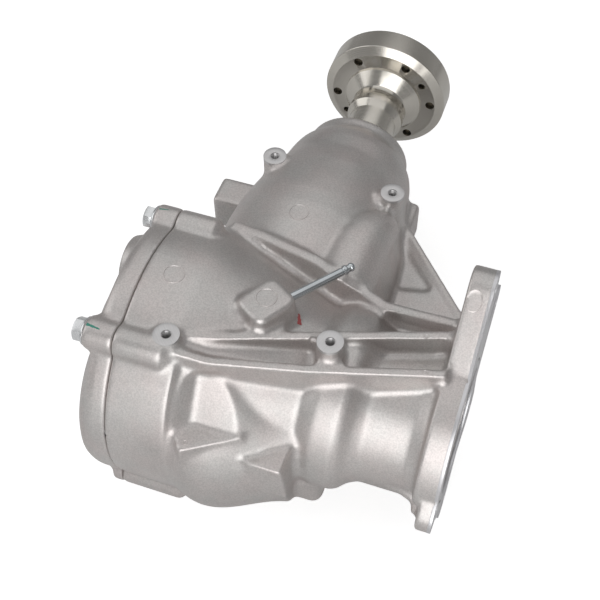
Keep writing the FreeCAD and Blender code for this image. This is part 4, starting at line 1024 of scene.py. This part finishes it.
class Studio:
    """Floor, lights, world and the camera at the photo's angle, all in metres."""

    floor_level = -0.114
    floor_lift = 0.66
    eye = (0.1728, -0.3973, 0.6733)
    azimuth = 19.85
    elevation = 53.45
    roll = -0.85
    focal_pixels = 1079.2
    frame_pixels = 600.0
    horizon = 0.34
    zenith = 0.15

    def build(self) -> None:
        """Builds the whole set."""
        self.floor()
        self.world()
        self.lamp("key", (0.35, -1.7, 0.75), (0.0, 0.0, 0.0), 1.8, 22.0)
        self.lamp("top", (0.0, 0.5, 1.7), (0.0, 0.05, 0.0), 2.6, 14.0)
        self.lamp("side", (-1.5, -0.3, 0.9), (0.0, 0.0, 0.0), 1.4, 6.0)
        self.camera()
        bpy.context.scene.view_settings.view_transform = "Standard"

    def floor(self) -> None:
        """Adds the pale floor."""
        deselect()
        bpy.ops.mesh.primitive_plane_add(size=6.0, location=(0.0, 0.0, self.floor_level))
        plane = bpy.context.active_object
        plane.name = "floor"
        settle(plane)
        net = Net("pale_floor")
        shade = net.noise(3.0, 2.0)
        tone = net.ramp(shade, "Fac", [(0.3, (0.74, 0.74, 0.74)), (0.7, (0.76, 0.76, 0.76))])
        net.link(tone, "Color", net.shader, "Base Color")
        net.shader.inputs["Roughness"].default_value = 0.9
        net.shader.inputs["Specular IOR Level"].default_value = 0.0
        glow = net.add("ShaderNodeLightPath")
        lift = net.span(glow, "Is Camera Ray", 0.0, self.floor_lift)
        net.shader.inputs["Emission Color"].default_value = (1.0, 1.0, 1.0, 1.0)
        net.link(lift, "Result", net.shader, "Emission Strength")
        plane.data.materials.append(net.material)

    def world(self) -> None:
        """Gives a pale surrounding, brighter at the horizon, that is white to the camera."""
        world = bpy.data.worlds.new("studio")
        bpy.context.scene.world = world
        world.use_nodes = True
        tree = world.node_tree
        background = tree.nodes["Background"]
        place = tree.nodes.new("ShaderNodeTexCoord")
        split = tree.nodes.new("ShaderNodeSeparateXYZ")
        tree.links.new(place.outputs["Generated"], split.inputs["Vector"])
        height = tree.nodes.new("ShaderNodeMapRange")
        tree.links.new(split.outputs["Z"], height.inputs["Value"])
        for name, value in (("From Min", -0.05), ("From Max", 0.9),
                            ("To Min", self.horizon), ("To Max", self.zenith)):
            height.inputs[name].default_value = value
        seen = tree.nodes.new("ShaderNodeLightPath")
        strength = tree.nodes.new("ShaderNodeMix")
        tree.links.new(seen.outputs["Is Camera Ray"], strength.inputs[0])
        tree.links.new(height.outputs["Result"], strength.inputs[2])
        strength.inputs[3].default_value = 1.0
        tree.links.new(strength.outputs[0], background.inputs["Strength"])
        background.inputs["Color"].default_value = (1.0, 1.0, 1.0, 1.0)

    def lamp(self, name: str, spot: Sequence[float], target: Sequence[float], size: float,
             power: float) -> None:
        """Adds a soft square lamp.

        Args:
            name: name of the lamp.
            spot: its place.
            target: the point that it faces.
            size: length of its side.
            power: watts.
        """
        data = bpy.data.lights.new(name, "AREA")
        data.size = size
        data.energy = power
        lamp = bpy.data.objects.new(name, data)
        bpy.context.scene.collection.objects.link(lamp)
        lamp.location = spot
        lamp.rotation_mode = "QUATERNION"
        lamp.rotation_quaternion = (Vector(target) - Vector(spot)).to_track_quat("-Z", "Y")

    def camera(self) -> None:
        """Adds the camera."""
        data = bpy.data.cameras.new("camera")
        data.sensor_width = 36.0
        data.lens = self.focal_pixels / self.frame_pixels * data.sensor_width
        data.clip_start = 0.05
        data.clip_end = 20.0
        camera = bpy.data.objects.new("camera", data)
        bpy.context.scene.collection.objects.link(camera)
        azimuth = math.radians(self.azimuth)
        elevation = math.radians(self.elevation)
        roll = math.radians(self.roll)
        back = Vector((math.sin(azimuth) * math.cos(elevation),
                       -math.cos(azimuth) * math.cos(elevation),
                       math.sin(elevation)))
        level = Vector((math.cos(azimuth), math.sin(azimuth), 0.0))
        above = back.cross(level)
        right = level * math.cos(roll) + above * math.sin(roll)
        up = above * math.cos(roll) - level * math.sin(roll)
        turn = Matrix((right, up, back)).transposed().to_4x4()
        camera.matrix_world = Matrix.Translation(Vector(self.eye)) @ turn
        bpy.context.scene.camera = camera


NODE_FINISHES = {
    "input_shaft": GROUND,
    "ring_gear": GROUND,
    "pinion_shaft": GROUND_Y,
    "pinion_nut": ZINC,
    "cover_dowels": GROUND,
    "ring_gear_bolts": ZINC,
    "drain_plug": ZINC,
    "fill_plug": ZINC,
    "drain_washer": COPPER,
    "fill_washer": COPPER,
    "cover_bearing_shim": GROUND,
    "pinion_shim": GROUND_Y,
    "crush_sleeve": GROUND_Y,
    "cover_shaft_seal": RUBBER,
    "neck_shaft_seal": RUBBER,
    "pinion_seal": RUBBER,
    "cover_o_ring": RUBBER,
    "flange_o_ring": RUBBER,
    "nut_washer": GROUND_Y,
    "dust_shield": ZINC,
}


def dress_nodes() -> None:
    """Gives each node of the frame that stays in view its finish."""
    for name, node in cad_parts.items():
        finish = NODE_FINISHES.get(name)
        if finish is None:
            finish = PRESSED if name.endswith("_cage") else GROUND_Y if name.startswith("pinion") else GROUND
        for slot in node.material_slots:
            slot.material = finish.material()
        LOG.info("%s: %s", name, finish.name)


# Places of bosses, holes and machined faces in millimetres
BOSS_SPOTS = {
    "boss_rear_left": (-48.0, 161.0, 56.0),
    "boss_rear_right": (51.0, 153.0, 56.0),
    "boss_front_left": (-48.0, -46.0, 91.0),
    "boss_front_right": (55.0, -13.5, 86.0),
}
BOSS_LAND_RADIUS = 8.9
THREAD_DEPTH = 12.0
FLANGE_BOLTS = [(55.0, 93.0), (98.0, 24.0), (60.0, -66.0), (-14.0, -82.0), (-62.0, -10.0)]
FACE_X = 148.8
NOSE_Y = 235.0
# Angle from the top round X, and how far each head stands off the cover's rim
COVER_BOLT_SPOTS = [(33.0, 0.0), (-34.0, 5.0), (-144.0, 0.0), (172.0, 5.0), (103.0, 5.0)]
COVER_BOLT_CIRCLE = 95.5
COVER_MIDDLE_X = -90.0


def along_z(spot: Sequence[float], low: float, high: float, radius: float) -> Hole:
    """Works out a hole along Z from its two levels.

    Args:
        spot: the boss that it belongs to, whose top the levels are counted from.
        low: lower end in millimetres.
        high: upper end in millimetres.
        radius: radius in millimetres.

    Returns:
        The hole.
    """
    x, y, top = spot
    return Axis.Z, (x * MM, y * MM, (top + (low + high) * 0.5) * MM), radius, high - low


def build_castings() -> None:
    """Builds the housing and the cover with their machined faces, threads and marks."""
    boss_holes = [along_z(spot, -THREAD_DEPTH, 2.0, 3.85) for spot in BOSS_SPOTS.values()]
    spot_faces = [along_z(spot, -0.25, 10.25, BOSS_LAND_RADIUS) for spot in BOSS_SPOTS.values()]
    flange_holes = [(Axis.X, ((FACE_X - 10.0) * MM, y * MM, z * MM), 5.5, 40.0) for y, z in FLANGE_BOLTS]
    housing = Casting("housing", boss_holes + flange_holes, spot_faces).build()
    bolt_holes = []
    for angle, _ in COVER_BOLT_SPOTS:
        turn = math.radians(angle)
        middle = (COVER_MIDDLE_X * MM, COVER_BOLT_CIRCLE * math.sin(turn) * MM,
                  COVER_BOLT_CIRCLE * math.cos(turn) * MM)
        bolt_holes.append((Axis.X, middle, 5.3, 40.0))
    cover = Casting("cover", bolt_holes, triangles=120000).build()
    Land("mounting_face", "housing", Axis.X, FACE_X, 1, MILLED, 2.5).build()
    Land("nose_rim", "housing", Axis.Y, NOSE_Y, 1, TURNED, 2.0).build()
    for name, (x, y, z) in BOSS_SPOTS.items():
        Land(name + "_land", "housing", Axis.Z, z, 1, SPOT_FACED, 3.0,
             within=lambda spot, x=x, y=y: math.hypot(spot.x - x, spot.y - y) < 12.0).build()
        ThreadedBoss(name + "_thread", (x, y, z)).build()
    PinMarks("pin_marks", [(-60.1, -2.6), (-6.4, 99.8), (4.5, 2.7)]).build(housing)
    PinMarks("lobe_pin_mark", [(137.5, 38.8)], 6.0).build(housing)
    PinMarks("small_pin_marks", [(-21.4, -90.5), (107.3, -9.9), (119.1, -8.2), (112.1, 20.3)],
             1.9, 0.3).build(housing)
    PaintMark("upper_bolt_mark", (-95.8, 52.6), (-88.5, 54.0), 1.0, GREEN).build(cover)
    PaintMark("front_bolt_mark", (-101.5, -55.2), (-91.2, -56.3), 1.9, GREEN).build(cover)
    PaintMark("red_drop", (27.2, 4.4), (24.1, 12.4), 2.8, RED).build(housing)


def main() -> None:
    """Builds every part of the scene and reports it."""
    logging.basicConfig(level=logging.INFO, format="%(message)s", stream=sys.stdout)
    dress_nodes()
    build_castings()
    OutputFlange().build()
    CoverBolts(COVER_BOLT_SPOTS, COVER_BOLT_CIRCLE).build()
    BreatherTube().build()
    Studio().build()


if __name__ == "__main__":
    main()
